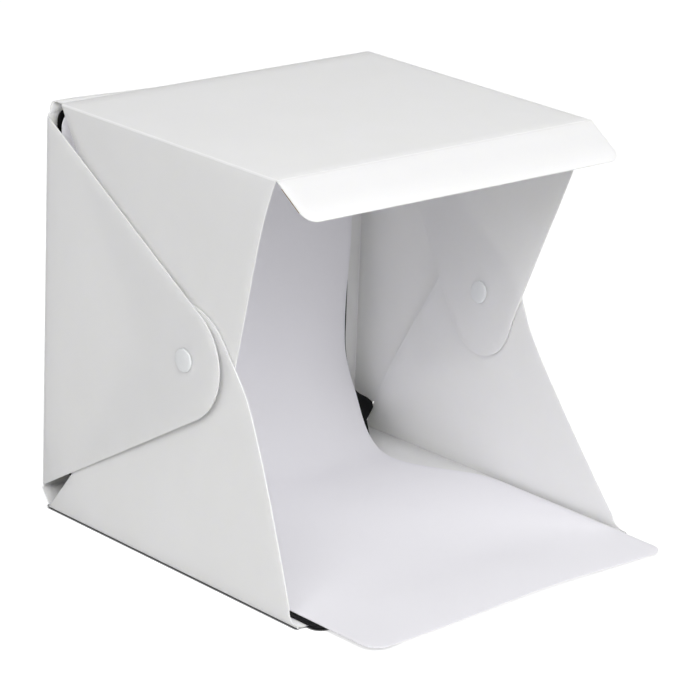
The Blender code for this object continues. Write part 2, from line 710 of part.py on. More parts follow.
def backdrop(kit, name, stations, edges, radius, skew, waist):
    """A thin sheet through the stations, with its (left, right) edges at the rear and at the front.

    The right edge draws in at the bend by the waist's (depth, length), and the skew slants the front.
    """
    top_z, (front_y, floor_z) = stations[0][1], stations[-1]
    turn_y = stations[0][0] - radius
    rows = len(stations) - 1
    work = bmesh.new()
    bmesh.ops.create_grid(work, x_segments=BACKDROP_CELLS_ACROSS, y_segments=rows, size=1.0)
    for vertex in work.verts:
        across = (vertex.co.x + 1.0) / 2
        y, z = stations[round((vertex.co.y + 1.0) / 2 * rows)]
        share = smooth_share((turn_y - y) / NARROWING_LENGTH)
        pull = corner_pull(min(y - front_y, top_z - z))
        left = edges[0][0] + (edges[1][0] - edges[0][0]) * share + pull
        right = edges[0][1] + (edges[1][1] - edges[0][1]) * share - pull
        fade = max(1.0 - (along_sheet(y, z, turn_y, floor_z, radius) / waist[1]) ** 2, 0.0)
        right -= waist[0] * fade**2
        lean = skew * smooth_share((turn_y - y) / (turn_y - front_y)) * (2 * across - 1)
        vertex.co = (left + (right - left) * across, y + lean, z)
    mesh = bpy.data.meshes.new(name)
    work.to_mesh(mesh)
    work.free()
    sheet = loose_object(name, mesh)
    thicken = sheet.modifiers.new("thickness", "SOLIDIFY")
    thicken.thickness = BACKDROP_THICKNESS
    thicken.offset = 0.0
    kit.part(name, evaluated_mesh(sheet), name + "_sheet")


def pad_pair(kit, name, material, face_y):
    """Two square pads side by side, from the given face forward."""
    facing = Matrix.Rotation(math.pi / 2, 4, "X")
    centre_z = BACK_HIGH[1] - PAD_FROM_TOP
    half = PAD_SIZE / 2
    square = rounded_corners(rectangle(half, -half, half), [PAD_CORNER_RADIUS] * 4)
    for label in SIDES:
        centre_x = direction(label) * PAD_SPACING / 2
        place = Matrix.Translation((centre_x, face_y, centre_z)) @ facing
        kit.part(f"{label}_{name}", flat_plate(square, PAD_THICKNESS, place), material)


def build_backdrops(kit):
    """The black sheet behind and under the white one, each held by two hook and loop pads."""
    step = PAD_THICKNESS + GAP
    pad_face = -SHEET - GAP
    pad_pair(kit, "back_panel_hook_pad", "white_hook_and_loop", pad_face)
    pad_pair(kit, "black_backdrop_loop_pad", "black_hook_and_loop", pad_face - step)
    black_y = pad_face - 2 * step - BACKDROP_THICKNESS / 2
    front_pad_face = black_y - BACKDROP_THICKNESS / 2 - GAP
    pad_pair(kit, "black_backdrop_hook_pad", "black_hook_and_loop", front_pad_face)
    pad_pair(kit, "white_backdrop_loop_pad", "white_hook_and_loop", front_pad_face - step)
    white_y = front_pad_face - 2 * step - BACKDROP_THICKNESS / 2

    black_z = SHEET + GAP + BACKDROP_THICKNESS / 2
    white_z = black_z + BACKDROP_THICKNESS + GAP
    black_front = -BOTTOM_DEPTH - BLACK_FRONT_REACH
    white_front = -BOTTOM_DEPTH - WHITE_FRONT_REACH
    black_edges = [
        (BLACK_SHIFT_REAR - BLACK_HALF_WIDTH_REAR, BLACK_SHIFT_REAR + BLACK_HALF_WIDTH_REAR),
        (BLACK_SHIFT_FRONT - BLACK_HALF_WIDTH_FRONT, BLACK_SHIFT_FRONT + BLACK_HALF_WIDTH_FRONT),
    ]
    white_edges = [
        (WHITE_SHIFT_REAR - WHITE_HALF_WIDTH_REAR, WHITE_SHIFT_REAR + WHITE_HALF_WIDTH_REAR),
        (WHITE_SHIFT_FRONT - WHITE_HALF_WIDTH_FRONT, WHITE_SHIFT_FRONT + WHITE_HALF_WIDTH_FRONT),
    ]
    black_run = sweep_stations(
        black_y, black_z, BLACK_SWEEP_RADIUS, BOX_HEIGHT - BLACK_TOP_GAP, black_front
    )
    white_run = sweep_stations(
        white_y, white_z, WHITE_SWEEP_RADIUS, BOX_HEIGHT - WHITE_TOP_GAP, white_front
    )
    black_waist = (BLACK_WAIST, BLACK_WAIST_LENGTH)
    backdrop(kit, "black_backdrop", black_run, black_edges, BLACK_SWEEP_RADIUS, 0.0, black_waist)
    white_waist = (WHITE_WAIST, WHITE_WAIST_LENGTH)
    backdrop(
        kit,
        "white_backdrop",
        white_run,
        white_edges,
        WHITE_SWEEP_RADIUS,
        WHITE_FRONT_SKEW,
        white_waist,
    )


def centre_on_bottom():
    """Puts the world's origin at the middle of the bottom panel's underside."""
    for obj in bpy.data.objects:
        obj.location.y += BOTTOM_DEPTH / 2


def main():
    clear_scene()
    kit = Kit()
    build_panels(kit)
    for label in SIDES:
        build_side(kit, label, direction(label))
        build_snap(kit, label, direction(label))
    build_visor(kit)
    build_backdrops(kit)
    centre_on_bottom()


main()
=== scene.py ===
"""The dressed light tent: creased translucent sheet, press snaps, backdrops and the LED strip.

Metres, +Z up, the open front faces -Y. The origin is the middle of the bottom panel's underside.
"""

import json
import logging
import math
from collections.abc import Callable, Iterable, Sequence
from dataclasses import dataclass, field
from enum import Enum

import bmesh
import bpy
from mathutils import Matrix, Vector
from mathutils.geometry import delaunay_2d_cdt
from mathutils.kdtree import KDTree


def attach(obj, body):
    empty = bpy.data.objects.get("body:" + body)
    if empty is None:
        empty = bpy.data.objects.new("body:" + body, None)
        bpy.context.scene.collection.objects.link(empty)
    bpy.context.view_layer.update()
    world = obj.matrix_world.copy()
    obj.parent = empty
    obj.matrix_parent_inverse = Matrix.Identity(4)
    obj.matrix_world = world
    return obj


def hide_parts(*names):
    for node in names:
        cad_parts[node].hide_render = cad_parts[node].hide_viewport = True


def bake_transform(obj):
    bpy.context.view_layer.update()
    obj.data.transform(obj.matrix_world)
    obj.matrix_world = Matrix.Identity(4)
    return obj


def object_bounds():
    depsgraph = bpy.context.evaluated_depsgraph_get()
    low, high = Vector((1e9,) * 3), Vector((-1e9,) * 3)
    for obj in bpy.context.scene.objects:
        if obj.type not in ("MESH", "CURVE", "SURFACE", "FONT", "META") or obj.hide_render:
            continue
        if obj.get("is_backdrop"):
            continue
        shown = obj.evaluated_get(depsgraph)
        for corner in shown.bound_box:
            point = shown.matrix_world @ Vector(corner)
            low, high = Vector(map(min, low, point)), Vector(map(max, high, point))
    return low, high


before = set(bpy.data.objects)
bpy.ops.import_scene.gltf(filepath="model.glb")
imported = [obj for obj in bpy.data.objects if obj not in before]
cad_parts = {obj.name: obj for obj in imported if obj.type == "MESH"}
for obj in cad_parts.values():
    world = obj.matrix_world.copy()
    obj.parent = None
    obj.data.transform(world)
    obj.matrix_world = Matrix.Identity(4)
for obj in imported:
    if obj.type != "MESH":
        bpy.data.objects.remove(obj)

LOG = logging.getLogger("light_tent")
MM_PER_METRE = 1000.0
SMOOTH_BELOW = math.radians(35.0)
BEVEL_ABOVE = math.radians(50.0)
TURN_SEED = 7

Point2 = tuple[float, float]
Triple = tuple[float, float, float]
Surface = Callable[[float, float], tuple[Vector, Vector]]

FRONT = Vector((0.0, -1.0, 0.0))
REAR = Vector((0.0, 1.0, 0.0))
UP = Vector((0.0, 0.0, 1.0))


class Side(Enum):
    """The two side walls, with the way each lies along X."""

    LEFT = -1.0
    RIGHT = 1.0

    @property
    def label(self) -> str:
        """The side's name as the frame's bodies and nodes write it."""
        return self.name.lower()


# Small tools


def linear(colour: str) -> tuple[float, float, float, float]:
    """An sRGB hex colour in Blender's linear light.

    Args:
        colour: six hex digits after a hash.

    Returns:
        Red, green, blue and an alpha of 1.
    """
    values = [int(colour[start : start + 2], 16) / 255 for start in (1, 3, 5)]
    light = [v / 12.92 if v <= 0.04045 else ((v + 0.055) / 1.055) ** 2.4 for v in values]
    return (light[0], light[1], light[2], 1.0)


def feed(
    tree: bpy.types.NodeTree, node: bpy.types.Node, inputs: dict[str | int, object]
) -> None:
    """Sets a node's inputs to values, or links them where an output socket is given.

    Args:
        tree: the node tree.
        node: the node whose inputs are set.
        inputs: for each input, a value or the output socket that feeds it.
    """
    for name, value in inputs.items():
        if isinstance(value, bpy.types.NodeSocket):
            tree.links.new(value, node.inputs[name])
        else:
            node.inputs[name].default_value = value


def add_node(
    tree: bpy.types.NodeTree,
    kind: str,
    inputs: dict[str | int, object] | None = None,
    settings: dict[str, object] | None = None,
) -> bpy.types.Node:
    """Adds a node with its settings, and its inputs as values or links.

    Args:
        tree: the material's or the modifier's node tree.
        kind: the node's type name.
        inputs: for each input, a value or the output socket that feeds it.
        settings: attributes of the node.

    Returns:
        The new node.
    """
    node = tree.nodes.new(kind)
    for name, value in (settings or {}).items():
        setattr(node, name, value)
    feed(tree, node, inputs or {})
    return node


def maths(
    tree: bpy.types.NodeTree, operation: str, first: object, second: object
) -> bpy.types.NodeSocket:
    """The result of a sum on two values or sockets."""
    inputs = {0: first, 1: second}
    return add_node(tree, "ShaderNodeMath", inputs, {"operation": operation}).outputs[0]


def mixed(
    tree: bpy.types.NodeTree, share: bpy.types.NodeSocket, low: object, high: object
) -> bpy.types.NodeSocket:
    """A mix by a share: of two numbers where the first is one, else of two colours.

    Args:
        tree: the node tree.
        share: how far the mix has gone from the first to the second.
        low: the value or the socket at a share of 0.
        high: the value or the socket at a share of 1.

    Returns:
        The mix's output socket.
    """
    kind, first, result = ("FLOAT", 2, 0) if isinstance(low, float) else ("RGBA", 6, 2)
    inputs = {0: share, first: low, first + 1: high}
    return add_node(tree, "ShaderNodeMix", inputs, {"data_type": kind}).outputs[result]


def noise(
    tree: bpy.types.NodeTree, place: bpy.types.NodeSocket, size_mm: float, detail: float
) -> bpy.types.NodeSocket:
    """Noise whose features are about that many millimetres wide."""
    inputs = {"Vector": place, "Scale": MM_PER_METRE / size_mm, "Detail": detail}
    return add_node(tree, "ShaderNodeTexNoise", inputs).outputs["Fac"]


# Finishes


@dataclass(frozen=True)
class Finish:
    """What every finish shares: a surface with two tones, a grain and an uneven gloss."""

    name: str
    colour: str
    shade: str
    mottle_mm: float
    grain_mm: float
    bump_mm: float
    roughness: Point2
    ior: float = 1.46
    metallic: float = 0.0
    subsurface: float = 0.0
    scatter_mm: float = 1.0
    scatter_tint: Triple = (1.0, 1.0, 1.0)
    stretch: Triple = (1.0, 1.0, 1.0)
    specular: float = 0.5
    mottle_detail: float = 3.0
    grain_detail: float = 2.0

    def material(self) -> bpy.types.Material:
        """The finish as a material, made once."""
        found = bpy.data.materials.get(self.name)
        return found or self.build()

    def build(self) -> bpy.types.Material:
        """Builds the node tree: mottled colour, uneven gloss and a fine raised grain.

        Returns:
            The new material.
        """
        material = bpy.data.materials.new(self.name)
        material.use_nodes = True
        tree = material.node_tree
        place = add_node(tree, "ShaderNodeTexCoord").outputs["Object"]
        stretched = {"Vector": place, "Scale": self.stretch}
        turned = add_node(tree, "ShaderNodeMapping", stretched).outputs["Vector"]
        mottle = noise(tree, turned, self.mottle_mm, self.mottle_detail)
        grain = noise(tree, turned, self.grain_mm, self.grain_detail)
        tone = mixed(tree, mottle, linear(self.shade), linear(self.colour))
        span = {"Value": mottle, "To Min": self.roughness[0], "To Max": self.roughness[1]}
        raised = {"Height": grain, "Strength": 1.0, "Distance": self.bump_mm / MM_PER_METRE}
        gloss = add_node(tree, "ShaderNodeMapRange", span).outputs["Result"]
        bump = add_node(tree, "ShaderNodeBump", raised).outputs["Normal"]
        inputs = {
            "Base Color": self.tint(tree, tone),
            "Roughness": gloss,
            "Normal": bump,
            "IOR": self.ior,
            "Metallic": self.metallic,
            "Specular IOR Level": self.specular,
            "Subsurface Weight": self.subsurface,
            "Subsurface Radius": self.scatter_tint,
            "Subsurface Scale": self.scatter_mm / MM_PER_METRE,
        }
        feed(tree, tree.nodes["Principled BSDF"], inputs)
        material.diffuse_color = linear(self.colour)
        return material

    def tint(self, tree: bpy.types.NodeTree, tone: bpy.types.NodeSocket) -> bpy.types.NodeSocket:
        """The last word on the colour. A plain finish keeps its tone."""
        return tone


@dataclass(frozen=True)
class LaminateFinish(Finish):
    """A circuit board: solder mask on its faces and bare brown laminate on its cut edges."""

    edge: str = "#8A6A3C"

    def tint(self, tree: bpy.types.NodeTree, tone: bpy.types.NodeSocket) -> bpy.types.NodeSocket:
        """Shows the laminate where the face attribute says that the board is cut.

        Args:
            tree: the material's node tree.
            tone: the solder mask's colour.

        Returns:
            The colour's output socket.
        """
        named = {"attribute_name": "cut_edge"}
        cut = add_node(tree, "ShaderNodeAttribute", settings=named).outputs["Fac"]
        return mixed(tree, cut, tone, linear(self.edge))


# Each finish: name, colour, shade, then the mottle, the grain and its height in mm, and the gloss.

# Matt calendered polypropylene, 0.8 mm: a fine sand grain, milky, lets some light through
SHEET_FINISH = Finish(
    "calendered_polypropylene_sheet", "#F5F5F5", "#EFEFEE", 45.0, 0.9, 0.02, (0.42, 0.52),
    ior=1.49, subsurface=0.6, scatter_mm=1.2, scatter_tint=(1.0, 1.0, 0.9),
)
# The same sheet where it is bent: whiter than the flat sheet, partly from the stretched skin's
# real whitening and partly as a painted highlight along the fold, with a soft sheen
CREASE_WHITENING_AND_HIGHLIGHT_FINISH = Finish(
    "stress_whitened_polypropylene_crease", "#FFFFFF", "#FBFBFB", 12.0, 0.6, 0.015, (0.26, 0.34),
    ior=1.7, specular=1.0,
)
# Moulded acetal snap: white, smoother than the sheet, with a soft highlight
SNAP_FINISH = Finish(
    "moulded_acetal_snap", "#F0F2F3", "#E9EBED", 5.0, 0.4, 0.006, (0.25, 0.34),
    ior=1.48, subsurface=0.2, scatter_mm=0.8,
)
# Matt white vinyl backdrop: even, slightly blue, no shine
WHITE_BACKDROP_FINISH = Finish(
    "matt_white_vinyl_backdrop", "#FAF9FE", "#F5F4F9", 60.0, 0.7, 0.015, (0.55, 0.66),
    ior=1.5, subsurface=0.1, scatter_mm=0.8,
)
# Matt black vinyl backdrop: deep grey-black with a faint sheen at a grazing angle
BLACK_BACKDROP_FINISH = Finish(
    "matt_black_vinyl_backdrop", "#121214", "#0D0D0F", 40.0, 0.7, 0.02, (0.5, 0.62),
    ior=1.5, specular=0.12,
)
# Woven nylon backing and pile of a white hook and loop pad
WHITE_PILE_FINISH = Finish(
    "white_nylon_pile", "#EDEDEB", "#DCDCD8", 1.4, 0.5, 0.12, (0.85, 0.95), ior=1.53
)
# The same pile dyed black
BLACK_PILE_FINISH = Finish(
    "black_nylon_pile", "#26262A", "#17171A", 1.4, 0.5, 0.12, (0.85, 0.95), ior=1.53
)
# Closed-cell foam mounting tape: cream, dull, with open cells along its cut sides
FOAM_TAPE_FINISH = Finish(
    "polyethylene_foam_tape", "#E6E4DC", "#D8D5CB", 1.6, 0.6, 0.1, (0.8, 0.92)
)
# White solder mask over paper laminate, whose sawn edge is brown
BOARD_FINISH = LaminateFinish(
    "white_masked_paper_laminate", "#EFF0EC", "#E6E7E2", 9.0, 0.5, 0.01, (0.3, 0.4), ior=1.5
)
# Moulded polyamide LED housing: bright white and a little glossy
HOUSING_FINISH = Finish(
    "moulded_polyamide_led_housing", "#F3F3EE", "#EBEBE5", 0.9, 0.3, 0.004, (0.3, 0.38), ior=1.53
)
# Cast silicone with yellow phosphor: smooth, wet-looking, warm yellow
PHOSPHOR_FINISH = Finish(
    "cast_phosphor_silicone", "#F0D45A", "#E5C548", 0.8, 0.3, 0.003, (0.12, 0.2),
    ior=1.41, subsurface=0.2, scatter_mm=0.3,
)
# Thick-film resistor: glazed black body
RESISTOR_FINISH = Finish(
    "glazed_resistor_body", "#1D1D20", "#121214", 0.8, 0.3, 0.004, (0.3, 0.42)
)
# Reflowed tin solder: bright, slightly rippled
SOLDER_FINISH = Finish(
    "reflowed_tin_solder", "#C9C9C7", "#B2B2B0", 0.9, 0.5, 0.03, (0.18, 0.34), metallic=1.0
)
# Nickel-plated folded steel of the inlet's shell, brushed along its length
SHELL_FINISH = Finish(
    "nickel_plated_steel", "#B9B6AE", "#A5A29A", 2.5, 0.35, 0.006, (0.22, 0.34),
    metallic=1.0, stretch=(0.15, 1.0, 1.0),
)
# Black moulded contact tongue in the inlet
CARRIER_FINISH = Finish(
    "moulded_black_carrier", "#1B1B1D", "#121214", 1.5, 0.3, 0.005, (0.4, 0.5)
)


# Mesh building


def linked(name: str, data: bpy.types.ID) -> bpy.types.Object:
    """A new object with that data, linked to the scene.

    Args:
        name: the object's name.
        data: its mesh, light or camera.

    Returns:
        The object.
    """
    obj = bpy.data.objects.new(name, data)
    bpy.context.scene.collection.objects.link(obj)
    return obj


def as_object(name: str, mesh: bpy.types.Mesh, finish: Finish | None = None) -> bpy.types.Object:
    """A mesh as an object at the origin, smooth but for its sharp edges.

    Args:
        name: the piece's name.
        mesh: its mesh, with its place in it.
        finish: the finish for its one slot, or None to leave its slots alone.

    Returns:
        The linked object.
    """
    if finish is not None:
        mesh.materials.clear()
        mesh.materials.append(finish.material())
    mesh.shade_smooth()
    mesh.set_sharp_from_angle(angle=SMOOTH_BELOW)
    return linked(name, mesh)


def from_bmesh(name: str, work: bmesh.types.BMesh) -> bpy.types.Mesh:
    """Turns a closed bmesh into a mesh with its faces pointing out.

    Args:
        name: the mesh's name.
        work: the closed bmesh, which is freed.

    Returns:
        The mesh.
    """
    bmesh.ops.recalc_face_normals(work, faces=work.faces)
    mesh = bpy.data.meshes.new(name)
    work.to_mesh(mesh)
    work.free()
    return mesh


def applied(obj: bpy.types.Object) -> bpy.types.Mesh:
    """The object's mesh with its modifiers applied. The object itself goes.

    Args:
        obj: an object that stands at the origin or anywhere else.

    Returns:
        The mesh, with the object's place in it.
    """
    bpy.context.view_layer.update()
    graph = bpy.context.evaluated_depsgraph_get()
    mesh = bpy.data.meshes.new_from_object(obj.evaluated_get(graph))
    mesh.transform(obj.matrix_world)
    bpy.data.objects.remove(obj, do_unlink=True)
    return mesh


def softened(mesh: bpy.types.Mesh, width: float, segments: int = 2) -> bpy.types.Mesh:
    """The mesh with its sharp edges broken by a small bevel.

    Args:
        mesh: the mesh, which is left as it was.
        width: the bevel's width.
        segments: the bevel's segments.

    Returns:
        A new mesh with the bevel in it.
    """
    obj = as_object(mesh.name, mesh)
    bevel = obj.modifiers.new("edge", "BEVEL")
    bevel.width, bevel.segments = width, segments
    bevel.limit_method, bevel.angle_limit = "ANGLE", BEVEL_ABOVE
    return applied(obj)


def band(near: Point2, far: Point2) -> list[Point2]:
    """The corners of a shape with mirrored sides, from the (half width, height) of its ends."""
    return [(-near[0], near[1]), near, far, (-far[0], far[1])]


def spoke(angle: float, length: float = 1.0) -> Vector:
    """A point of the plane at that angle and distance from its origin."""
    return Vector((math.cos(angle), math.sin(angle))) * length


def bridge(work: bmesh.types.BMesh, rings: Sequence[Sequence[bmesh.types.BMVert]]) -> None:
    """Joins closed rings of vertices, each to the next one, by four-sided faces.

    Args:
        work: the bmesh that holds the rings.
        rings: rings of the same number of vertices, in order.
    """
    for near, far in zip(rings, rings[1:]):
        for index, vertex in enumerate(near):
            following = (index + 1) % len(near)
            work.faces.new([vertex, near[following], far[following], far[index]])


def round_corners(
    corners: Sequence[Point2], radii: Sequence[float], steps: int = 10
) -> list[Vector]:
    """A closed outline with arcs at its corners.

    Args:
        corners: the outline's corners, in order.
        radii: one radius for each corner, where 0 keeps it sharp.
        steps: facets in each arc.

    Returns:
        The outline's points.
    """
    outline: list[Vector] = []
    for index, (corner, radius) in enumerate(zip(corners, radii)):
        here = Vector(corner)
        if radius == 0.0:
            outline.append(here)
            continue
        before = (Vector(corners[index - 1]) - here).normalized()
        after = (Vector(corners[(index + 1) % len(corners)]) - here).normalized()
        half = before.angle(after) / 2
        centre = here + (before + after).normalized() * (radius / math.sin(half))
        start = here + before * (radius / math.tan(half)) - centre
        end = here + after * (radius / math.tan(half)) - centre
        turn = start.angle_signed(end)
        for step in range(steps + 1):
            outline.append(centre + Matrix.Rotation(-turn * step / steps, 2) @ start)
    return outline


def resampled(outline: Sequence[Vector], spacing: float) -> list[Vector]:
    """The outline with its long edges cut into lengths of at most the spacing.

    Args:
        outline: the closed outline.
        spacing: the longest edge that is left.

    Returns:
        The outline's points, with the new ones between them.
    """
    points: list[Vector] = []
    for index, point in enumerate(outline):
        following = outline[(index + 1) % len(outline)]
        pieces = max(1, math.ceil((following - point).length / spacing))
        points += [point.lerp(following, piece / pieces) for piece in range(pieces)]
    return points


def encloses(outline: Sequence[Vector], point: Vector) -> bool:
    """Whether a point lies inside a closed outline.

    Args:
        outline: the closed outline.
        point: the point, in the same plane.

    Returns:
        True where the point lies inside.
    """
    inside = False
    for index, a in enumerate(outline):
        b = outline[index - 1]
        if (a.y > point.y) != (b.y > point.y):
            crossing = (b.x - a.x) * (point.y - a.y) / (b.y - a.y) + a.x
            inside = inside != (point.x < crossing)
    return inside


def sheet_solid(
    name: str,
    outline: Sequence[Vector],
    holes: Sequence[Sequence[Vector]],
    surface: Surface,
    thickness: float,
    cell: float,
    edge_break: float = 0.00012,
) -> bpy.types.Mesh:
    """A cut sheet: a flat outline with holes, laid on a surface and given its thickness.

    Args:
        name: the mesh's name.
        outline: the closed outline in the sheet's own plane.
        holes: closed outlines that are cut out.
        surface: gives the place and the unit normal for a point of the plane.
        thickness: the sheet's thickness, half to each side of the surface.
        cell: the spacing of the inner points.
        edge_break: the width of the bevel along the cut edges.

    Returns:
        One closed mesh.
    """
    points: list[Vector] = []
    edges: list[tuple[int, int]] = []
    for loop in [resampled(outline, cell / 2), *holes]:
        first, count = len(points), len(loop)
        points += [Vector(point) for point in loop]
        edges += [(first + step, first + (step + 1) % count) for step in range(count)]
    points += inner_points(points, outline, holes, cell)
    flat, _, faces, _, _, _ = delaunay_2d_cdt(points, edges, [], 1, 1e-7)
    work = bmesh.new()
    outer, inner = [], []
    for point in flat:
        place, normal = surface(point.x, point.y)
        outer.append(work.verts.new(place + normal * thickness / 2))
        inner.append(work.verts.new(place - normal * thickness / 2))
    for face in faces:
        middle = sum((flat[index] for index in face), Vector((0.0, 0.0))) / len(face)
        if any(encloses(hole, middle) for hole in holes):
            continue
        work.faces.new([outer[index] for index in face])
        work.faces.new([inner[index] for index in reversed(face)])
    pairs = {vertex: inner[index] for index, vertex in enumerate(outer)}
    for edge in [edge for edge in work.edges if edge.is_boundary and edge.verts[0] in pairs]:
        a, b = edge.verts
        work.faces.new([a, b, pairs[b], pairs[a]])
    loose = [vertex for vertex in work.verts if not vertex.link_faces]
    bmesh.ops.delete(work, geom=loose, context="VERTS")
    return softened(from_bmesh(name, work), edge_break)


def inner_points(
    border: Sequence[Vector],
    outline: Sequence[Vector],
    holes: Sequence[Sequence[Vector]],
    cell: float,
) -> list[Vector]:
    """The grid points inside an outline that keep clear of its border and its holes.

    Args:
        border: every point of the outline and the holes.
        outline: the closed outline.
        holes: closed outlines that are cut out.
        cell: the spacing of the grid.

    Returns:
        The points, column by column.
    """
    clear_cells = 0.45
    tree = KDTree(len(border))
    for index, point in enumerate(border):
        tree.insert((point.x, point.y, 0.0), index)
    tree.balance()
    lows = [min(point[axis] for point in outline) for axis in (0, 1)]
    highs = [max(point[axis] for point in outline) for axis in (0, 1)]
    columns, rows = [math.ceil((high - low) / cell) for low, high in zip(lows, highs)]
    points = []
    for column in range(1, columns):
        for row in range(1, rows):
            point = Vector((lows[0] + column * cell, lows[1] + row * cell))
            if tree.find((point.x, point.y, 0.0))[2] < clear_cells * cell:
                continue
            if encloses(outline, point) and not any(encloses(hole, point) for hole in holes):
                points.append(point)
    return points


def flat_surface(place: Matrix) -> Surface:
    """The plane of a frame: its X and Y are the sheet's, and its Z is the normal."""
    normal = heading(place, UP)
    return lambda u, v: (place @ Vector((u, v, 0.0)), normal)


def heading(place: Matrix, direction: Vector) -> Vector:
    """A direction of a frame, as a unit vector outside it."""
    return (place.to_3x3() @ direction).normalized()


def lathe(
    name: str, profile: Sequence[Point2], place: Matrix, closed: bool = False, steps: int = 64
) -> bpy.types.Mesh:
    """A profile of radius and height turned round the frame's Z.

    Args:
        name: the mesh's name.
        profile: points of radius and height, from the axis round to the axis unless closed.
        place: the frame whose Z is the axis.
        closed: whether the profile is a ring's section.
        steps: facets round the axis.

    Returns:
        One closed mesh.
    """
    work = bmesh.new()
    rings: list[list[bmesh.types.BMVert]] = []
    for radius, height in profile:
        count = steps if radius else 1
        ring = []
        for angle in [math.tau * step / steps for step in range(count)]:
            point = Vector((radius * math.cos(angle), radius * math.sin(angle), height))
            ring.append(work.verts.new(place @ point))
        rings.append(ring)
    spans = list(zip(rings, rings[1:]))
    if closed:
        spans.append((rings[-1], rings[0]))
    for upper, lower in spans:
        for step in range(steps):
            near, far = (
                [ring[number % len(ring)] for ring in (upper, lower)]
                for number in (step, (step + 1) % steps)
            )
            distinct = list(dict.fromkeys([near[0], far[0], far[1], near[1]]))
            if len(distinct) > 2:
                work.faces.new(distinct)
    return from_bmesh(name, work)


def cube(
    size: Triple, place: Matrix, edge_break: float, segments: int, profile: float
) -> bmesh.types.BMesh:
    """A block with bevelled edges, centred on a frame's origin.

    Args:
        size: its length, width and height.
        place: the frame.
        edge_break: the bevel's width.
        segments: the bevel's segments.
        profile: the bevel's roundness.

    Returns:
        The open bmesh.
    """
    work = bmesh.new()
    bmesh.ops.create_cube(work, size=1.0, matrix=place @ Matrix.Diagonal((*size, 1.0)))
    edges = work.edges[:]
    bmesh.ops.bevel(
        work, geom=edges, offset=edge_break, segments=segments, affect="EDGES", profile=profile
    )
    return work


def block(name: str, size: Triple, place: Matrix, edge_break: float) -> bpy.types.Mesh:
    """A small moulded block with softened edges, centred on a frame's origin."""
    return from_bmesh(name, cube(size, place, edge_break, 2, 0.6))


def row_of(
    name: str,
    pattern: bpy.types.Mesh,
    count: int,
    pitch: float,
    finish: Finish,
    rows: int = 1,
    jitter: float = 0.0,
) -> bpy.types.Mesh:
    """Copies of one small mesh on a line or a grid, made by Geometry Nodes.

    Args:
        name: the result's name.
        pattern: the mesh that is repeated, built round the origin.
        count: copies along X.
        pitch: the spacing of the copies.
        finish: the finish that they all take.
        rows: copies along Y.
        jitter: the most that a copy turns about Z, in radians.

    Returns:
        One plain mesh with every copy in it, centred on the origin.
    """
    model = linked(name + "_pattern", pattern)
    tree = bpy.data.node_groups.new(name, "GeometryNodeTree")
    tree.interface.new_socket("Geometry", in_out="OUTPUT", socket_type="NodeSocketGeometry")
    values = {
        "Copies Along": ("Int", count),
        "Copies Across": ("Int", rows),
        "Length": ("Float", pitch * (count - 1)),
        "Width": ("Float", pitch * (rows - 1)),
        "Turn": ("Float", jitter),
        "Piece": ("Object", model),
    }
    sockets = {
        label: tree.interface.new_socket(label, in_out="INPUT", socket_type="NodeSocket" + kind)
        for label, (kind, _) in values.items()
    }
    given = add_node(tree, "NodeGroupInput").outputs
    spread = {
        "Size X": given["Length"],
        "Size Y": given["Width"],
        "Vertices X": given["Copies Along"],
        "Vertices Y": given["Copies Across"],
    }
    grid = add_node(tree, "GeometryNodeMeshGrid", spread)
    piece = add_node(tree, "GeometryNodeObjectInfo", {"Object": given["Piece"]})
    limits = {2: maths(tree, "MULTIPLY", given["Turn"], -1.0), 3: given["Turn"], "Seed": TURN_SEED}
    chance = add_node(tree, "FunctionNodeRandomValue", limits, {"data_type": "FLOAT"})
    turn = add_node(tree, "ShaderNodeCombineXYZ", {"Z": chance.outputs[1]})
    copied = {
        "Points": grid.outputs["Mesh"],
        "Instance": piece.outputs["Geometry"],
        "Rotation": turn.outputs[0],
    }
    placed = add_node(tree, "GeometryNodeInstanceOnPoints", copied).outputs["Instances"]
    real = add_node(tree, "GeometryNodeRealizeInstances", {"Geometry": placed})
    dress = {"Geometry": real.outputs["Geometry"], "Material": finish.material()}
    dressed = add_node(tree, "GeometryNodeSetMaterial", dress)
    add_node(tree, "NodeGroupOutput", {"Geometry": dressed.outputs["Geometry"]})
    host = linked(name, bpy.data.meshes.new(name))
    modifier = host.modifiers.new("copies", "NODES")
    modifier.node_group = tree
    for label, (_, value) in values.items():
        modifier[sockets[label].identifier] = value
    mesh = applied(host)
    bpy.data.objects.remove(model, do_unlink=True)
    return mesh


# The folded sheet's pattern


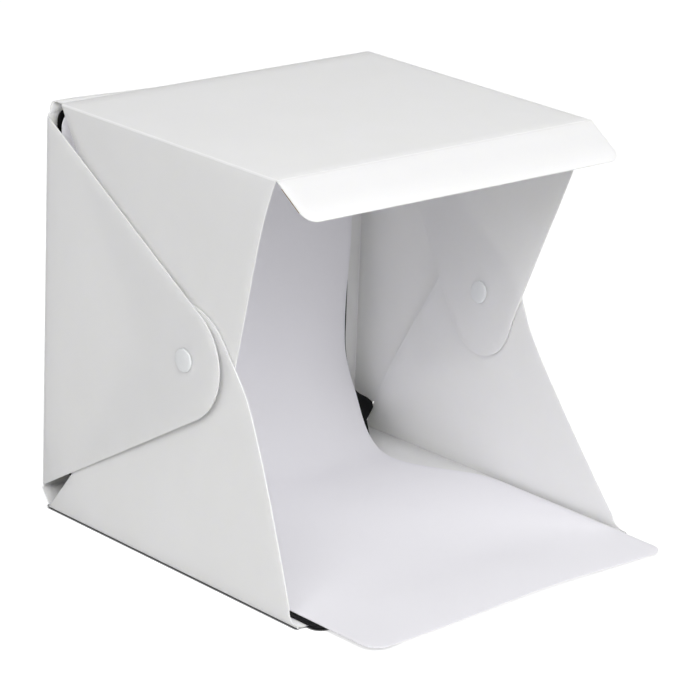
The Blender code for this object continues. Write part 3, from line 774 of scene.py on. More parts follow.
@dataclass(frozen=True)
class FoldPattern:
    """The sizes of the creased sheet, laid out from the rear corner of its outline, in metres."""

    sheet: float = 0.0008
    gap: float = 0.0003
    height: float = 0.2355
    bottom_depth: float = 0.232
    top_depth: float = 0.194
    spine_leg: float = 0.0085
    top_spine_leg: float = 0.0060
    top_fold: float = 0.1130
    back_fold: float = 0.1174
    bottom_fold_rear: float = 0.1200
    bottom_fold_front: float = 0.1214
    bottom_corner: float = 0.004
    spine_inset: float = 0.0020
    flap_inset: float = 0.0020
    close_inset: float = 0.0006
    snap_depth: float = 0.120
    snap_height: float = 0.117
    snap_pinch: float = 0.0074
    layer_pitch: float = 0.0015
    pinch_taper: float = 0.045
    pinch_power: float = 1.6
    pinch_ease: float = 0.08
    swell: float = 0.0040
    back_pinch: float = 0.0058
    flare_rear: float = 0.035
    flare_growth: float = 0.44
    flare_power: float = 1.3
    back_tip: float = 0.0345
    back_tip_back: float = 0.0067
    back_tip_drop: float = 0.0015
    bottom_tip: float = 0.032
    top_tip: float = 0.0270
    top_tip_forward: float = 0.001
    top_tip_drop: float = 0.010
    bottom_front_setback: float = 0.0092
    bottom_foot: float = 0.0075
    top_front_setback: float = 0.0010
    visor_length: float = 0.031
    visor_half_width: float = 0.1132
    visor_corner: float = 0.008
    visor_tilt: float = math.radians(33.0)
    visor_trim: float = 0.0004
    crease_trim: float = 0.0005
    socket_height: float = 0.0021
    backdrop: float = 0.0005
    pad: float = 0.0010

    @property
    def stand(self) -> float:
        """How far a flap's straight part begins from its panel's outer face."""
        return self.sheet + self.gap

    def at(self, x: float, y: float, z: float) -> Vector:
        """A point of the layout in the part's frame."""
        return Vector((x, y + self.bottom_depth / 2, z))

    def bottom_fold(self, y: float) -> float:
        """Half width between the middles of the bottom's side folds."""
        share = -y / self.bottom_depth
        return self.bottom_fold_rear + share * (self.bottom_fold_front - self.bottom_fold_rear)

    def top_wall(self, y: float, z: float) -> float:
        """Half width at the middle of the top flap.

        Args:
            y: the depth, in the layout.
            z: the height.

        Returns:
            The half width, without the sheet's own thickness.
        """
        fall = max(self.height - z, 0.0) / (self.height - self.snap_height)
        swell = 0.0
        if fall <= 1.0:
            bend = fall**self.pinch_power
            arch = math.sin(math.pi * fall) * (1.0 - fall) ** 2
            swell = self.swell * (y / self.top_depth) ** 2 * arch
        else:
            eased = 1.0 - math.exp((1.0 - fall) / self.pinch_ease)
            bend = 1.0 + self.pinch_power * self.pinch_ease * eased
        pinch = self.snap_pinch + self.pinch_taper * (-y - self.snap_depth)
        return self.top_fold + swell - bend * pinch

    def bottom_wall(self, y: float, z: float) -> float:
        """Half width at the middle of the bottom flap, flared out to its fold.

        Args:
            y: the depth, in the layout.
            z: the height.

        Returns:
            The half width, without the sheet's own thickness.
        """
        rest = max(0.0, 1.0 - z / (self.flare_rear - self.flare_growth * y))
        spread = self.bottom_fold(y) - self.top_wall(y, 0.0) - self.layer_pitch
        return self.top_wall(y, z) + self.layer_pitch + spread * rest**self.flare_power

    def back_wall(self, y: float, z: float) -> float:
        """Half width at the middle of the back flap."""
        return self.back_fold + self.back_pinch * y / self.snap_depth

    def wall(self, half_width: Callable[[float, float], float], side: Side) -> Surface:
        """One of the walls above as a surface over the layout's (y, z).

        Args:
            half_width: the wall's half width at a point.
            side: the side it stands on.

        Returns:
            A function that gives the place and the outward normal.
        """

        def surface(y: float, z: float) -> tuple[Vector, Vector]:
            """The place and the normal at a point of the wall."""
            step = self.sheet
            slope_y = (half_width(y + step, z) - half_width(y - step, z)) / (2 * step)
            slope_z = (half_width(y, z + step) - half_width(y, z - step)) / (2 * step)
            normal = Vector((side.value, -slope_y, -slope_z)).normalized()
            return self.at(side.value * half_width(y, z), y, z), normal

        return surface

    def run(self, start: Point2, end: Point2) -> Matrix:
        """A frame along the outline: X across, Y along the run and Z into the box.

        Args:
            start: where the run starts, in the layout's (y, z).
            end: a point further along it.

        Returns:
            The frame, with its origin at the start.
        """
        along = Vector((0.0, end[0] - start[0], end[1] - start[1])).normalized()
        across = Vector((1.0, 0.0, 0.0))
        place = Matrix((across, along, across.cross(along))).transposed().to_4x4()
        place.translation = self.at(0.0, *start)
        return place

    def visor_frame(self) -> Matrix:
        """The run of the visor, from its fold down its slope."""
        fold = (-self.top_depth, self.height)
        end = (fold[0] - math.cos(self.visor_tilt), fold[1] - math.sin(self.visor_tilt))
        return self.run(fold, end)

    def snap_frames(self, side: Side) -> tuple[Matrix, Matrix]:
        """The snap's frames on the back flap and on the top flap, each square to its sheet.

        Args:
            side: the side whose snap it is.

        Returns:
            The frame on the back flap, then the one on the top flap.
        """
        spot = (-self.snap_depth, self.snap_height)
        outer_place, outer_axis = self.wall(self.back_wall, side)(*spot)
        inner = self.wall(self.top_wall, side)
        inner_axis = inner(*spot)[1]
        mouth = outer_place - outer_axis * (self.sheet / 2 + self.gap + self.socket_height)
        spacing = abs(mouth.x) - self.top_wall(*spot)
        foot = mouth - inner_axis * spacing
        inner_place = inner(foot.y - self.bottom_depth / 2, foot.z)[0]
        return facing(outer_place, outer_axis), facing(inner_place, inner_axis)


def facing(place: Vector, axis: Vector) -> Matrix:
    """A frame at a place whose Z lies along the axis."""
    turned = axis.to_track_quat("Z", "Y").to_matrix().to_4x4()
    turned.translation = place
    return turned


@dataclass
class Assembly:
    """What every sub-assembly shares: the pattern and how a finished piece is reported."""

    pattern: FoldPattern

    def ride(
        self, obj: bpy.types.Object, body: str, slot: str, replaced: Iterable[str] = ()
    ) -> None:
        """Gives a finished piece its body, hides the nodes it stands for and logs it.

        Args:
            obj: the finished piece.
            body: the body it moves with.
            slot: the record's material slot; it is not used.
            replaced: the solids it stands for.
        """
        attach(obj, body)
        self.report(obj, replaced)

    def report(self, obj: bpy.types.Object, replaced: Iterable[str] = ()) -> None:
        """Hides the solids that a piece stands for, and logs it.

        Args:
            obj: the finished piece.
            replaced: the solids it stands for.
        """
        nodes = tuple(replaced)
        if nodes:
            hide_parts(*nodes)
        LOG.info("%s: %d faces", obj.name, len(obj.data.polygons))


@dataclass
class Crease:
    """The rounded fold that joins two plates of the sheet along a straight line."""

    name: str
    bodies: tuple[str, str]
    line: tuple[Vector, Vector]
    towards: tuple[Vector, Vector]
    trim: float
    thickness: float
    steps: int = 7
    stations: int = 24

    def mesh(self) -> bpy.types.Mesh:
        """A strip of the sheet bent round the corner, as one closed band.

        Returns:
            One closed mesh.
        """
        first, second = self.towards
        bend = math.pi - first.angle(second)
        radius = self.trim / math.tan(bend / 2)
        centre = (first + second).normalized() * math.hypot(self.trim, radius)
        start = first * self.trim - centre
        axis = first.cross(second).normalized()
        outer, inner = [], []
        for step in range(self.steps + 1):
            turn, chord = bend * step / self.steps, first.lerp(second, step / self.steps)
            arms = [Matrix.Rotation(way * turn, 3, axis) @ start for way in (-1, 1)]
            arm = min(arms, key=lambda way: (centre + way - chord * self.trim).length)
            outer.append(centre + arm)
            inner.append(centre + arm * ((radius - self.thickness) / radius))
        profile = outer + inner[::-1]
        work = bmesh.new()
        rings = []
        for station in range(self.stations + 1):
            base = self.line[0].lerp(self.line[1], station / self.stations)
            rings.append([work.verts.new(base + point) for point in profile])
        bridge(work, rings)
        for ring in (rings[0], rings[-1]):
            for index in range(self.steps):
                corners = [ring[index], ring[index + 1], ring[-2 - index], ring[-1 - index]]
                work.faces.new(corners)
        return from_bmesh(self.name, work)

    def build(self, assembly: Assembly) -> None:
        """Makes the strip in its place and logs it.

        Args:
            assembly: the sub-assembly that the crease belongs to.
        """
        # The strip takes the crease finish, whose whiter colour is partly real whitening and
        # partly a painted highlight along the fold.
        obj = as_object(self.name, self.mesh(), CREASE_WHITENING_AND_HIGHLIGHT_FINISH)
        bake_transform(obj)
        assembly.report(obj)


@dataclass
class CreasedShell(Assembly):
    """The run of bottom, spine, back, spine and top, with the four creases that join it."""

    cell: float = 0.012
    spine_cell: float = 0.0011
    bulge: float = 0.0042
    bulge_end: float = 0.030
    bulge_power: float = 1.5

    def build(self) -> None:
        """Builds the five plates and the creases between them."""
        pattern = self.pattern
        leg, top_leg, high = pattern.spine_leg, pattern.top_spine_leg, pattern.height
        half, side, inset = pattern.sheet / 2, pattern.stand, pattern.spine_inset
        bottom_front = pattern.bottom_fold(-pattern.bottom_depth) + half
        bottom_rear = pattern.bottom_fold(-leg) + half
        back, top = pattern.back_fold + half, pattern.top_fold + half
        names = ("bottom_panel", "bottom_spine", "back_panel", "top_spine", "top_panel")
        places = (
            (-pattern.bottom_depth, 0.0),
            (-leg, 0.0),
            (0.0, leg),
            (0.0, high - top_leg),
            (-top_leg, high),
            (-pattern.top_depth, high),
        )
        widths = (
            (bottom_front - side, bottom_rear - side),
            (bottom_rear - inset, back),
            (back - side, back - side),
            (back - inset, top - inset),
            (top - side, top - side),
        )
        trims = (0.0, *[pattern.crease_trim] * 4, pattern.visor_trim)
        radii = (pattern.bottom_corner, 0.0, 0.0, 0.0, 0.0)
        for index, name in enumerate(names):
            ends = slice(index, index + 2)
            self.plate(name, places[ends], widths[index], trims[ends], radii[index])
        half_lines = (bottom_rear - inset, back, back - inset, top - inset)
        for index, half_line in enumerate(half_lines):
            before, corner, after = (Vector(place) for place in places[index : index + 3])
            arms = [Vector((0.0, *(arm - corner).normalized())) for arm in (before, after)]
            line = [pattern.at(x, *corner) for x in (-half_line, half_line)]
            name, bodies = f"{names[index + 1]}_crease", names[index : index + 2]
            trim, thickness = pattern.crease_trim, pattern.sheet
            Crease(name, bodies, tuple(line), tuple(arms), trim, thickness).build(self)

    def plate(
        self,
        name: str,
        ends: tuple[Point2, Point2],
        widths: Point2,
        trims: Point2,
        radius: float,
    ) -> None:
        """One flat plate of the run, stopped short of its creases.

        Args:
            name: the node and body that it stands for.
            ends: where its run starts and ends, in the layout's (y, z).
            widths: its half widths at the start and the end.
            trims: how far it stops short at the start and the end.
            radius: its corner radius at the start.
        """
        low, high = trims[0], (Vector(ends[1]) - Vector(ends[0])).length - trims[1]
        corners = band((widths[0], low), (widths[1], high))
        outline = round_corners(corners, [radius, radius, 0.0, 0.0])
        raised = Matrix.Translation((0.0, 0.0, self.pattern.sheet / 2))
        place = self.pattern.run(*ends) @ raised
        surface, cell = flat_surface(place), self.cell
        if name == "top_spine":
            surface, cell = self.bulged(place, widths[0], low, high), self.spine_cell
        mesh = sheet_solid(name, outline, [], surface, self.pattern.sheet, cell)
        self.ride(as_object(f"{name}_sheet", mesh, SHEET_FINISH), name, "white_sheet", [name])

    def bulged(self, place: Matrix, half_width: float, low: float, high: float) -> Surface:
        """The top spine's surface: it springs outward, most of all at its left end.

        Args:
            place: the frame of the flat strip.
            half_width: half the strip's length.
            low: where the strip starts along its run.
            high: where it ends.

        Returns:
            A function that gives the place and the normal.
        """
        along, out = (place.col[index].to_3d() for index in (1, 2))

        def surface(x: float, y: float) -> tuple[Vector, Vector]:
            """The place and the normal at a point of the strip."""
            share = min(max((y - low) / (high - low), 0.0), 1.0)
            ease = smooth((self.bulge_end - x) / (self.bulge_end + half_width))
            ease **= self.bulge_power
            height = self.bulge * ease * math.sin(math.pi * share)
            slope = self.bulge * ease * math.cos(math.pi * share) * math.pi / (high - low)
            normal = (out + along * slope).normalized()
            return place @ Vector((x, y, 0.0)) - out * height, normal

        return surface


@dataclass
class SideWall(Assembly):
    """The three flaps of one side and the folds that carry them."""

    side: Side
    cell: float = 0.006
    arc_steps: int = 40
    foot_steps: int = 8
    hole_steps: int = 32
    post_bore: float = 0.0018
    flange_bore: float = 0.0052

    def build(self) -> None:
        """Builds the back, bottom and top flap, from the outermost layer in."""
        pattern = self.pattern
        outer, inner = pattern.snap_frames(self.side)
        stand, leg, inset = pattern.stand, pattern.spine_leg, self.corner_inset()
        snap_y, snap_z = -pattern.snap_depth, pattern.snap_height
        low, high = leg + inset, pattern.height - pattern.top_spine_leg - inset
        tip = (snap_y + pattern.back_tip_back, snap_z - pattern.back_tip_drop)
        back = self.outline((-stand, high), (-stand, low), tip, pattern.back_tip, 1.0)
        self.flap("back", back, pattern.back_wall, self.hole(outer, self.post_bore))
        rear, front = -leg - inset, -pattern.bottom_depth + pattern.bottom_front_setback
        foot = (front, stand + pattern.bottom_foot)
        bottom = self.outline((rear, stand), foot, (snap_y, snap_z), pattern.bottom_tip, 1.0)
        bottom += self.foot_curve(foot)
        layer = inner @ Matrix.Translation((0.0, 0.0, pattern.layer_pitch))
        self.flap("bottom", bottom, pattern.bottom_wall, self.hole(layer, self.flange_bore))
        tip = (snap_y - pattern.top_tip_forward, snap_z - pattern.top_tip_drop)
        hang = pattern.height - stand
        top_rear = -pattern.top_spine_leg - inset
        top_front = -pattern.top_depth + pattern.top_front_setback
        top = self.outline((top_rear, hang), (top_front, hang), tip, pattern.top_tip, -1.0)
        self.flap("top", top, pattern.top_wall, self.hole(inner, self.post_bore))
        self.folds(rear, low, high, (top_rear, top_front))

    def corner_inset(self) -> float:
        """How far this side's flaps stop short of the panel's corners."""
        pattern = self.pattern
        return pattern.flap_inset if self.side is Side.LEFT else pattern.close_inset

    def foot_curve(self, foot: Point2) -> list[Vector]:
        """The curve from the bottom flap's front edge forward into its fold.

        Args:
            foot: the lower end of the flap's front edge, in the layout's (y, z).

        Returns:
            The curve's points after that end.
        """
        fold_front = Vector((-self.pattern.bottom_depth, self.pattern.stand))
        reach, drop = foot[0] - fold_front.x, foot[1] - fold_front.y
        curve = []
        for step in range(1, self.foot_steps + 1):
            angle = math.pi / 2 * step / self.foot_steps
            offset = Vector((reach * math.cos(angle), drop * (1.0 - math.sin(angle))))
            curve.append(fold_front + offset)
        return curve

    def hole(self, place: Matrix, radius: float) -> list[Vector]:
        """A round hole about a frame's origin, as an outline in the layout's (y, z).

        Args:
            place: the frame of the snap's piece.
            radius: the hole's radius.

        Returns:
            The hole's outline.
        """
        middle = Vector((place.translation.y - self.pattern.bottom_depth / 2, place.translation.z))
        angles = [math.tau * step / self.hole_steps for step in range(self.hole_steps)]
        return [middle + spoke(angle, radius) for angle in angles]

    def outline(
        self, first: Point2, second: Point2, centre: Point2, radius: float, turn: float
    ) -> list[Vector]:
        """A flap's outline: from its first corner round a circular tip to its second.

        Args:
            first: the corner at the start of the fold.
            second: the corner at its end.
            centre: the tip's centre.
            radius: the tip's radius.
            turn: 1 where the tip is passed anticlockwise, -1 where clockwise.

        Returns:
            The outline in the layout's (y, z).
        """
        middle = Vector(centre)
        angles = []
        for corner, way in ((first, turn), (second, -turn)):
            line = Vector(corner) - middle
            angles.append(math.atan2(line.y, line.x) + way * math.acos(radius / line.length))
        sweep = (angles[1] - angles[0]) * turn % math.tau
        steps = range(self.arc_steps + 1)
        turns = [angles[0] + turn * sweep * step / self.arc_steps for step in steps]
        arc = [middle + spoke(angle, radius) for angle in turns]
        return [Vector(first), *arc, Vector(second)]

    def flap(
        self,
        layer: str,
        outline: list[Vector],
        half_width: Callable[[float, float], float],
        hole: list[Vector],
    ) -> None:
        """Cuts one flap and lays it on its wall.

        Args:
            layer: which flap: back, bottom or top.
            outline: its outline in the layout's (y, z).
            half_width: the wall that it lies on.
            hole: the outline of its hole.
        """
        name = f"{self.side.label}_{layer}_flap"
        surface = self.pattern.wall(half_width, self.side)
        mesh = sheet_solid(name, outline, [hole], surface, self.pattern.sheet, self.cell)
        self.ride(as_object(f"{name}_sheet", mesh, SHEET_FINISH), name, "white_sheet", [name])

    def folds(self, rear: float, low: float, high: float, top: Point2) -> None:
        """The rounded folds between the panels and this side's flaps.

        Args:
            rear: where the bottom flap's fold starts, in the layout's y.
            low: where the back flap's fold starts, in z.
            high: where it ends.
            top: where the top flap's fold starts and ends, in y.
        """
        pattern, sign, label = self.pattern, self.side.value, self.side.label
        half = pattern.sheet / 2
        back_x = sign * (pattern.back_wall(-pattern.stand, 0.0) + half)
        top_x = sign * (pattern.top_fold + half)
        bottom = [
            pattern.at(sign * (pattern.bottom_fold(y) + half), y, 0.0)
            for y in (rear, -pattern.bottom_depth)
        ]
        back = [pattern.at(back_x, 0.0, z) for z in (low, high)]
        over = [pattern.at(top_x, y, pattern.height) for y in top]
        lines = (("bottom", bottom, UP), ("back", back, FRONT), ("top", over, -UP))
        for layer, line, onward in lines:
            inward = (line[1] - line[0]).normalized().cross(onward)
            if inward.x * sign > 0:
                inward = -inward
            bodies = (f"{layer}_panel", f"{label}_{layer}_flap")
            arms = (inward.normalized(), onward)
            name, trim, thickness = f"{label}_{layer}_fold", pattern.stand, pattern.sheet
            Crease(name, bodies, tuple(line), arms, trim, thickness).build(self)


@dataclass
class PressSnap(Assembly):
    """One press snap: cap and socket on the back flap, stud and cap on the top flap.

    The fields from mark on are shares that shape the soft edges.
    """

    side: Side
    cap_radius: float = 0.0066
    cap_rise: float = 0.0020
    cap_rim: float = 0.0007
    post_radius: float = 0.0015
    socket_radius: float = 0.0055
    socket_floor: float = 0.0006
    nub_radius: float = 0.0024
    nub_rise: float = 0.0026
    nub_clearance: float = 0.0006
    flange_radius: float = 0.0044
    flange_thickness: float = 0.0010
    dome_steps: int = 14
    mark: float = 0.16
    mark_floor: float = 0.6
    mark_dip: float = 0.07
    dome_power: float = 0.8
    roll_top: float = 1.2
    roll_side: float = 0.3
    roll_foot: float = 4.0
    lip_ease: float = 0.4
    nub_ease: float = 0.3
    waist_ease: float = 0.2

    def build(self) -> None:
        """Builds the snap's four pieces."""
        outer, inner = self.pattern.snap_frames(self.side)
        seat = self.pattern.sheet / 2 + self.pattern.gap
        label = self.side.label
        raised = Matrix.Translation((0.0, 0.0, seat))
        over = Matrix.Rotation(math.pi, 4, "X")
        outward, inward = outer @ raised, inner @ over @ raised
        back, top = f"{label}_back_flap", f"{label}_top_flap"
        self.piece(f"{label}_snap_outer_cap", self.cap(), outward, back)
        self.piece(f"{label}_snap_socket", self.socket(seat), outer, back, closed=True)
        self.piece(f"{label}_snap_stud", self.stud(seat), inner, top)
        self.piece(f"{label}_snap_inner_cap", self.cap(), inward, top)

    def piece(
        self, node: str, profile: list[Point2], place: Matrix, body: str, closed: bool = False
    ) -> None:
        """Turns one profile and hands the piece over."""
        mesh = lathe(node, profile, place, closed)
        self.ride(as_object(f"{node}_turned", mesh, SNAP_FINISH), body, "snap_plastic", [node])

    def cap(self) -> list[Point2]:
        """A domed cap over its post, with a rolled rim and the press's shallow mark.

        Returns:
            The profile, from the middle of the dome round to the post's end.
        """
        mark, dip = self.cap_radius * self.mark, self.cap_rise * self.mark_dip
        dome = [(0.0, self.cap_rise - dip), (mark * self.mark_floor, self.cap_rise - dip)]
        for step in range(1, self.dome_steps + 1):
            angle = math.pi / 2 * step / self.dome_steps
            radius = mark + (self.cap_radius - mark) * math.sin(angle)
            lift = (self.cap_rise - self.cap_rim) * math.cos(angle) ** self.dome_power
            dome.append((radius, self.cap_rim + lift))
        roll = self.cap_rim / 2
        dome.append((self.cap_radius, roll * self.roll_top))
        dome.append((self.cap_radius - roll * self.roll_side, roll))
        reach = -(self.pattern.sheet + self.pattern.gap)
        post, foot = self.post_radius, self.cap_radius - roll * self.roll_foot
        return dome + [(foot, 0.0), (post, 0.0), (post, reach), (0.0, reach)]

    def socket(self, seat: float) -> list[Point2]:
        """The socket's ring, with a rolled lip round its mouth.

        Args:
            seat: how far the snap's faces lie from the flap's middle.

        Returns:
            The ring's section.
        """
        bore = self.post_radius + self.pattern.gap
        mouth = self.nub_radius + self.nub_clearance
        low = -seat - self.pattern.socket_height
        lip = self.cap_rim / 2
        ease = lip * self.lip_ease
        return [
            (bore, -seat),
            (self.socket_radius - lip, -seat),
            (self.socket_radius, -seat - lip),
            (self.socket_radius, low + lip),
            (self.socket_radius - lip, low),
            (mouth + ease, low),
            (mouth, low + ease),
            (mouth, -seat - self.socket_floor),
            (bore, -seat - self.socket_floor),
        ]

    def stud(self, seat: float) -> list[Point2]:
        """The stud: a flange, a waisted nub and the pocket for the cap's post.

        Args:
            seat: how far the snap's faces lie from the flap's middle.

        Returns:
            The profile, from the nub's top round to the pocket's floor.
        """
        shelf = seat + self.flange_thickness
        top = shelf + self.nub_rise
        radius, ease = self.nub_radius, self.cap_rim / 2
        bore = self.post_radius + self.pattern.gap
        recess = seat + self.flange_thickness / 2
        lip = ease * self.lip_ease
        return [
            (0.0, top),
            (radius - ease, top),
            (radius - ease * self.nub_ease, top - ease * self.nub_ease),
            (radius, top - ease),
            (radius - lip, shelf + ease),
            (radius - ease * self.waist_ease, shelf),
            (self.flange_radius - lip, shelf),
            (self.flange_radius, shelf - lip),
            (self.flange_radius, seat),
            (bore, seat),
            (bore, recess),
            (0.0, recess),
        ]


@dataclass
class Backdrop(Assembly):
    """A thin vinyl sheet that sweeps from the back down and out over the bottom."""

    name: str
    finish: Finish
    back_y: float
    floor_z: float
    radius: float
    top_gap: float
    reach: float
    rear_edges: Point2
    front_edges: Point2
    skew: float = 0.0
    waist: float = 0.0115
    waist_length: float = 0.060
    waist_rise: float = 0.060
    dip: float = 0.0
    dip_place: float = 0.105
    dip_length: float = 0.050
    ripple: float = 0.0
    ripple_lean: float = 1.3
    ripple_start: float = 0.75
    corner: float = 0.010
    corner_steps: int = 8
    edge_share: float = 0.2
    narrowing: float = 0.070
    spacing: float = 0.0035
    columns: int = 56

    def build(self) -> None:
        """Builds the swept sheet."""
        mesh = softened(self.mesh(), self.pattern.backdrop * self.edge_share)
        obj = as_object(f"{self.name}_sheet", mesh, self.finish)
        self.ride(obj, "bottom_panel", f"{self.name}_sheet", [self.name])

    def stations(self) -> list[tuple[float, float, Vector]]:
        """Places (y, z) down the back, round the sweep and forward, each with its normal.

        Returns:
            The layout's y and z and the upward normal of each station.
        """
        top = self.pattern.height - self.top_gap
        turn_y, turn_z = self.back_y - self.radius, self.floor_z + self.radius
        drop, length = top - turn_z, turn_y + self.pattern.bottom_depth + self.reach
        quarter = [math.pi / 2 * step / self.corner_steps for step in range(self.corner_steps)]
        ends = [self.corner * (1.0 - math.cos(angle)) for angle in quarter]
        steps = math.ceil((drop - self.corner) / self.spacing)
        downs = ends + [self.corner + (drop - self.corner) * k / steps for k in range(steps)]
        places = [(self.back_y, top - down, FRONT) for down in downs]
        arc_steps = math.ceil(self.radius * math.pi / 2 / self.spacing)
        for step in range(arc_steps + 1):
            angle = math.pi / 2 * step / arc_steps
            normal = Vector((0.0, -math.cos(angle), math.sin(angle)))
            y = turn_y + self.radius * math.cos(angle)
            places.append((y, turn_z - self.radius * math.sin(angle), normal))
        steps = math.ceil((length - self.corner) / self.spacing)
        onward = [(length - self.corner) * k / steps for k in range(1, steps + 1)]
        onward += [length - end for end in reversed(ends)]
        return places + [(turn_y - forward, self.floor_z, UP) for forward in onward]

    def mesh(self) -> bpy.types.Mesh:
        """The sheet as one closed grid with its thickness.

        Returns:
            One closed mesh.
        """
        places = self.stations()
        top, front = places[0][1], places[-1][0]
        turn_y = self.back_y - self.radius
        work = bmesh.new()
        faces_up, faces_down = [], []
        for y, z, normal in places:
            share = smooth((turn_y - y) / self.narrowing)
            pull = self.corner_pull(min(y - front, top - z))
            left, right = (
                rear + (fore - rear) * share
                for rear, fore in zip(self.rear_edges, self.front_edges)
            )
            left, right = left + pull, right - pull - self.drawn_in(y, z, turn_y)
            ahead = smooth((turn_y - y) / (turn_y - front))
            upper, lower = [], []
            for column in range(self.columns + 1):
                across = column / self.columns
                lean = self.skew * ahead * (2 * across - 1)
                x = left + (right - left) * across
                point = self.pattern.at(x, y + lean, z) + normal * self.lift(across, ahead)
                upper.append(work.verts.new(point + normal * self.pattern.backdrop / 2))
                lower.append(work.verts.new(point - normal * self.pattern.backdrop / 2))
            faces_up.append(upper)
            faces_down.append(lower)
        rows = len(places) - 1
        for row in range(rows):
            for column in range(self.columns):
                for grid in (faces_up, faces_down):
                    near, far = grid[row], grid[row + 1]
                    work.faces.new([near[column], near[column + 1], far[column + 1], far[column]])
        border = [(0, column) for column in range(self.columns)]
        border += [(row, self.columns) for row in range(rows)]
        border += [(rows, column) for column in range(self.columns, 0, -1)]
        border += [(row, 0) for row in range(rows, 0, -1)]
        pairs = [(faces_up[row][column], faces_down[row][column]) for row, column in border]
        for near, far in zip(pairs, pairs[1:] + pairs[:1]):
            work.faces.new([near[0], far[0], far[1], near[1]])
        return from_bmesh(self.name, work)

    def drawn_in(self, y: float, z: float, turn_y: float) -> float:
        """How far the right edge draws in, at the bend and at the shallow dip above it.

        Args:
            y: the station's depth, in the layout.
            z: its height.
            turn_y: where the bend meets the bottom.

        Returns:
            How far the edge lies in from its straight line.
        """
        radius = self.radius
        if z > self.floor_z + radius:
            along = radius * math.pi / 2 + z - self.floor_z - radius
        elif y > turn_y:
            along = radius * math.asin(min((y - turn_y) / radius, 1.0))
        else:
            along = turn_y - y
        if y < turn_y:
            return self.waist * max(1.0 - (along / self.waist_length) ** 2, 0.0) ** 2
        waist = self.waist * max(1.0 - (along / self.waist_rise) ** 2, 0.0) ** 2
        off_centre = (along - self.dip_place) / self.dip_length
        return waist + self.dip * max(1.0 - off_centre**2, 0.0) ** 2

    def corner_pull(self, left: float) -> float:
        """How far a round corner draws the edge in, this near the sheet's end."""
        if left >= self.corner:
            return 0.0
        return self.corner - math.sqrt(max(self.corner**2 - (self.corner - left) ** 2, 0.0))

    def lift(self, across: float, ahead: float) -> float:
        """How far the free front part stands off the bottom, in one soft arch.

        Args:
            across: the share of the width, from left to right.
            ahead: the share of the way from the bend to the front edge.

        Returns:
            The height above the flat sheet.
        """
        wave = math.sin(math.pi * across**self.ripple_lean) ** 2
        start = self.ripple_start
        return self.ripple * wave * smooth((ahead - start) / (1.0 - start))


def smooth(value: float) -> float:
    """0 below 0, 1 above 1, and an easy curve between."""
    share = min(max(value, 0.0), 1.0)
    return share * share * (3.0 - 2.0 * share)


@dataclass
class HookAndLoop(Assembly):
    """The square pads between the back panel and the two backdrops."""

    size: float = 0.020
    backing: float = 0.0006
    spacing: float = 0.170
    from_top: float = 0.020
    corner: float = 0.002
    corner_steps: int = 6
    cells: int = 6
    edge_break: float = 0.0001
    tufts: int = 19
    pile_pitch: float = 0.00098
    thread: float = 0.00007
    thread_steps: int = 5
    tuft_reach: float = 0.32
    hook_bend: float = 0.8
    hook_jitter: float = 0.15

    def build(self) -> None:
        """Builds the four pairs of pads, from the back panel forward."""
        pattern = self.pattern
        step = pattern.pad + pattern.gap
        face = -pattern.sheet - pattern.gap
        self.pair("back_panel_hook_pad", "back_panel", face, False, WHITE_PILE_FINISH)
        self.pair("black_backdrop_loop_pad", "bottom_panel", face - step, True, BLACK_PILE_FINISH)
        front = face - 2 * step - pattern.backdrop - pattern.gap
        self.pair("black_backdrop_hook_pad", "bottom_panel", front, False, BLACK_PILE_FINISH)
        self.pair("white_backdrop_loop_pad", "bottom_panel", front - step, True, WHITE_PILE_FINISH)

    def pair(self, node: str, body: str, face: float, faces_back: bool, finish: Finish) -> None:
        """Two pads at one depth.

        Args:
            node: the end of the two nodes' names.
            body: the body that carries them.
            face: the depth of their rear side, in the layout's y.
            faces_back: whether the pile looks to the rear, as a loop pad's does.
            finish: their finish.
        """
        pattern, half = self.pattern, self.size / 2
        height = pattern.height - pattern.top_spine_leg - self.from_top
        slot = "white_hook_and_loop" if "white" in finish.name else "black_hook_and_loop"
        square = band((half, -half), (half, half))
        outline = round_corners(square, [self.corner] * 4, self.corner_steps)
        jitter = math.pi if faces_back else self.hook_jitter
        for side in Side:
            name = f"{side.label}_{node}"
            centre = pattern.at(side.value * self.spacing / 2, face, height)
            forward = Matrix.Translation(centre) @ Matrix.Rotation(math.pi / 2, 4, "X")
            if faces_back:
                turned = Matrix.Rotation(math.pi, 4, "X")
                forward = forward @ Matrix.Translation((0.0, 0.0, pattern.pad)) @ turned
            middle = flat_surface(forward @ Matrix.Translation((0.0, 0.0, self.backing / 2)))
            cell = self.size / self.cells
            mesh = sheet_solid(name, outline, [], middle, self.backing, cell, self.edge_break)
            self.ride(as_object(f"{name}_backing", mesh, finish), body, slot, [name])
            tuft, count = self.tuft(faces_back), self.tufts
            pile = row_of(f"{name}_pile", tuft, count, self.pile_pitch, finish, count, jitter)
            pile.transform(forward @ Matrix.Translation((0.0, 0.0, self.backing)))
            self.ride(as_object(f"{name}_pile", pile), body, slot)

    def tuft(self, is_loop: bool) -> bpy.types.Mesh:
        """One nylon loop, or one hook, as a bent thread of three sides.

        Args:
            is_loop: whether it is a loop, else it is a hook.

        Returns:
            One closed mesh, built round the origin.
        """
        rise = self.pattern.pad - self.backing
        reach = self.pile_pitch * self.tuft_reach
        end = math.pi if is_loop else math.pi * self.hook_bend
        work = bmesh.new()
        rings = []
        for step in range(self.thread_steps + 1):
            angle = end * step / self.thread_steps
            height = (rise - self.thread) * math.sin(angle)
            middle = Vector((-reach * math.cos(angle), 0.0, height))
            out = Vector((-math.cos(angle), 0.0, math.sin(angle)))
            turns = [math.tau * corner / 3 for corner in range(3)]
            offsets = [out * math.cos(turn) + REAR * math.sin(turn) for turn in turns]
            rings.append([work.verts.new(middle + offset * self.thread) for offset in offsets])
        bridge(work, rings)
        work.faces.new(rings[0])
        work.faces.new(rings[-1])
        return from_bmesh("tuft", work)


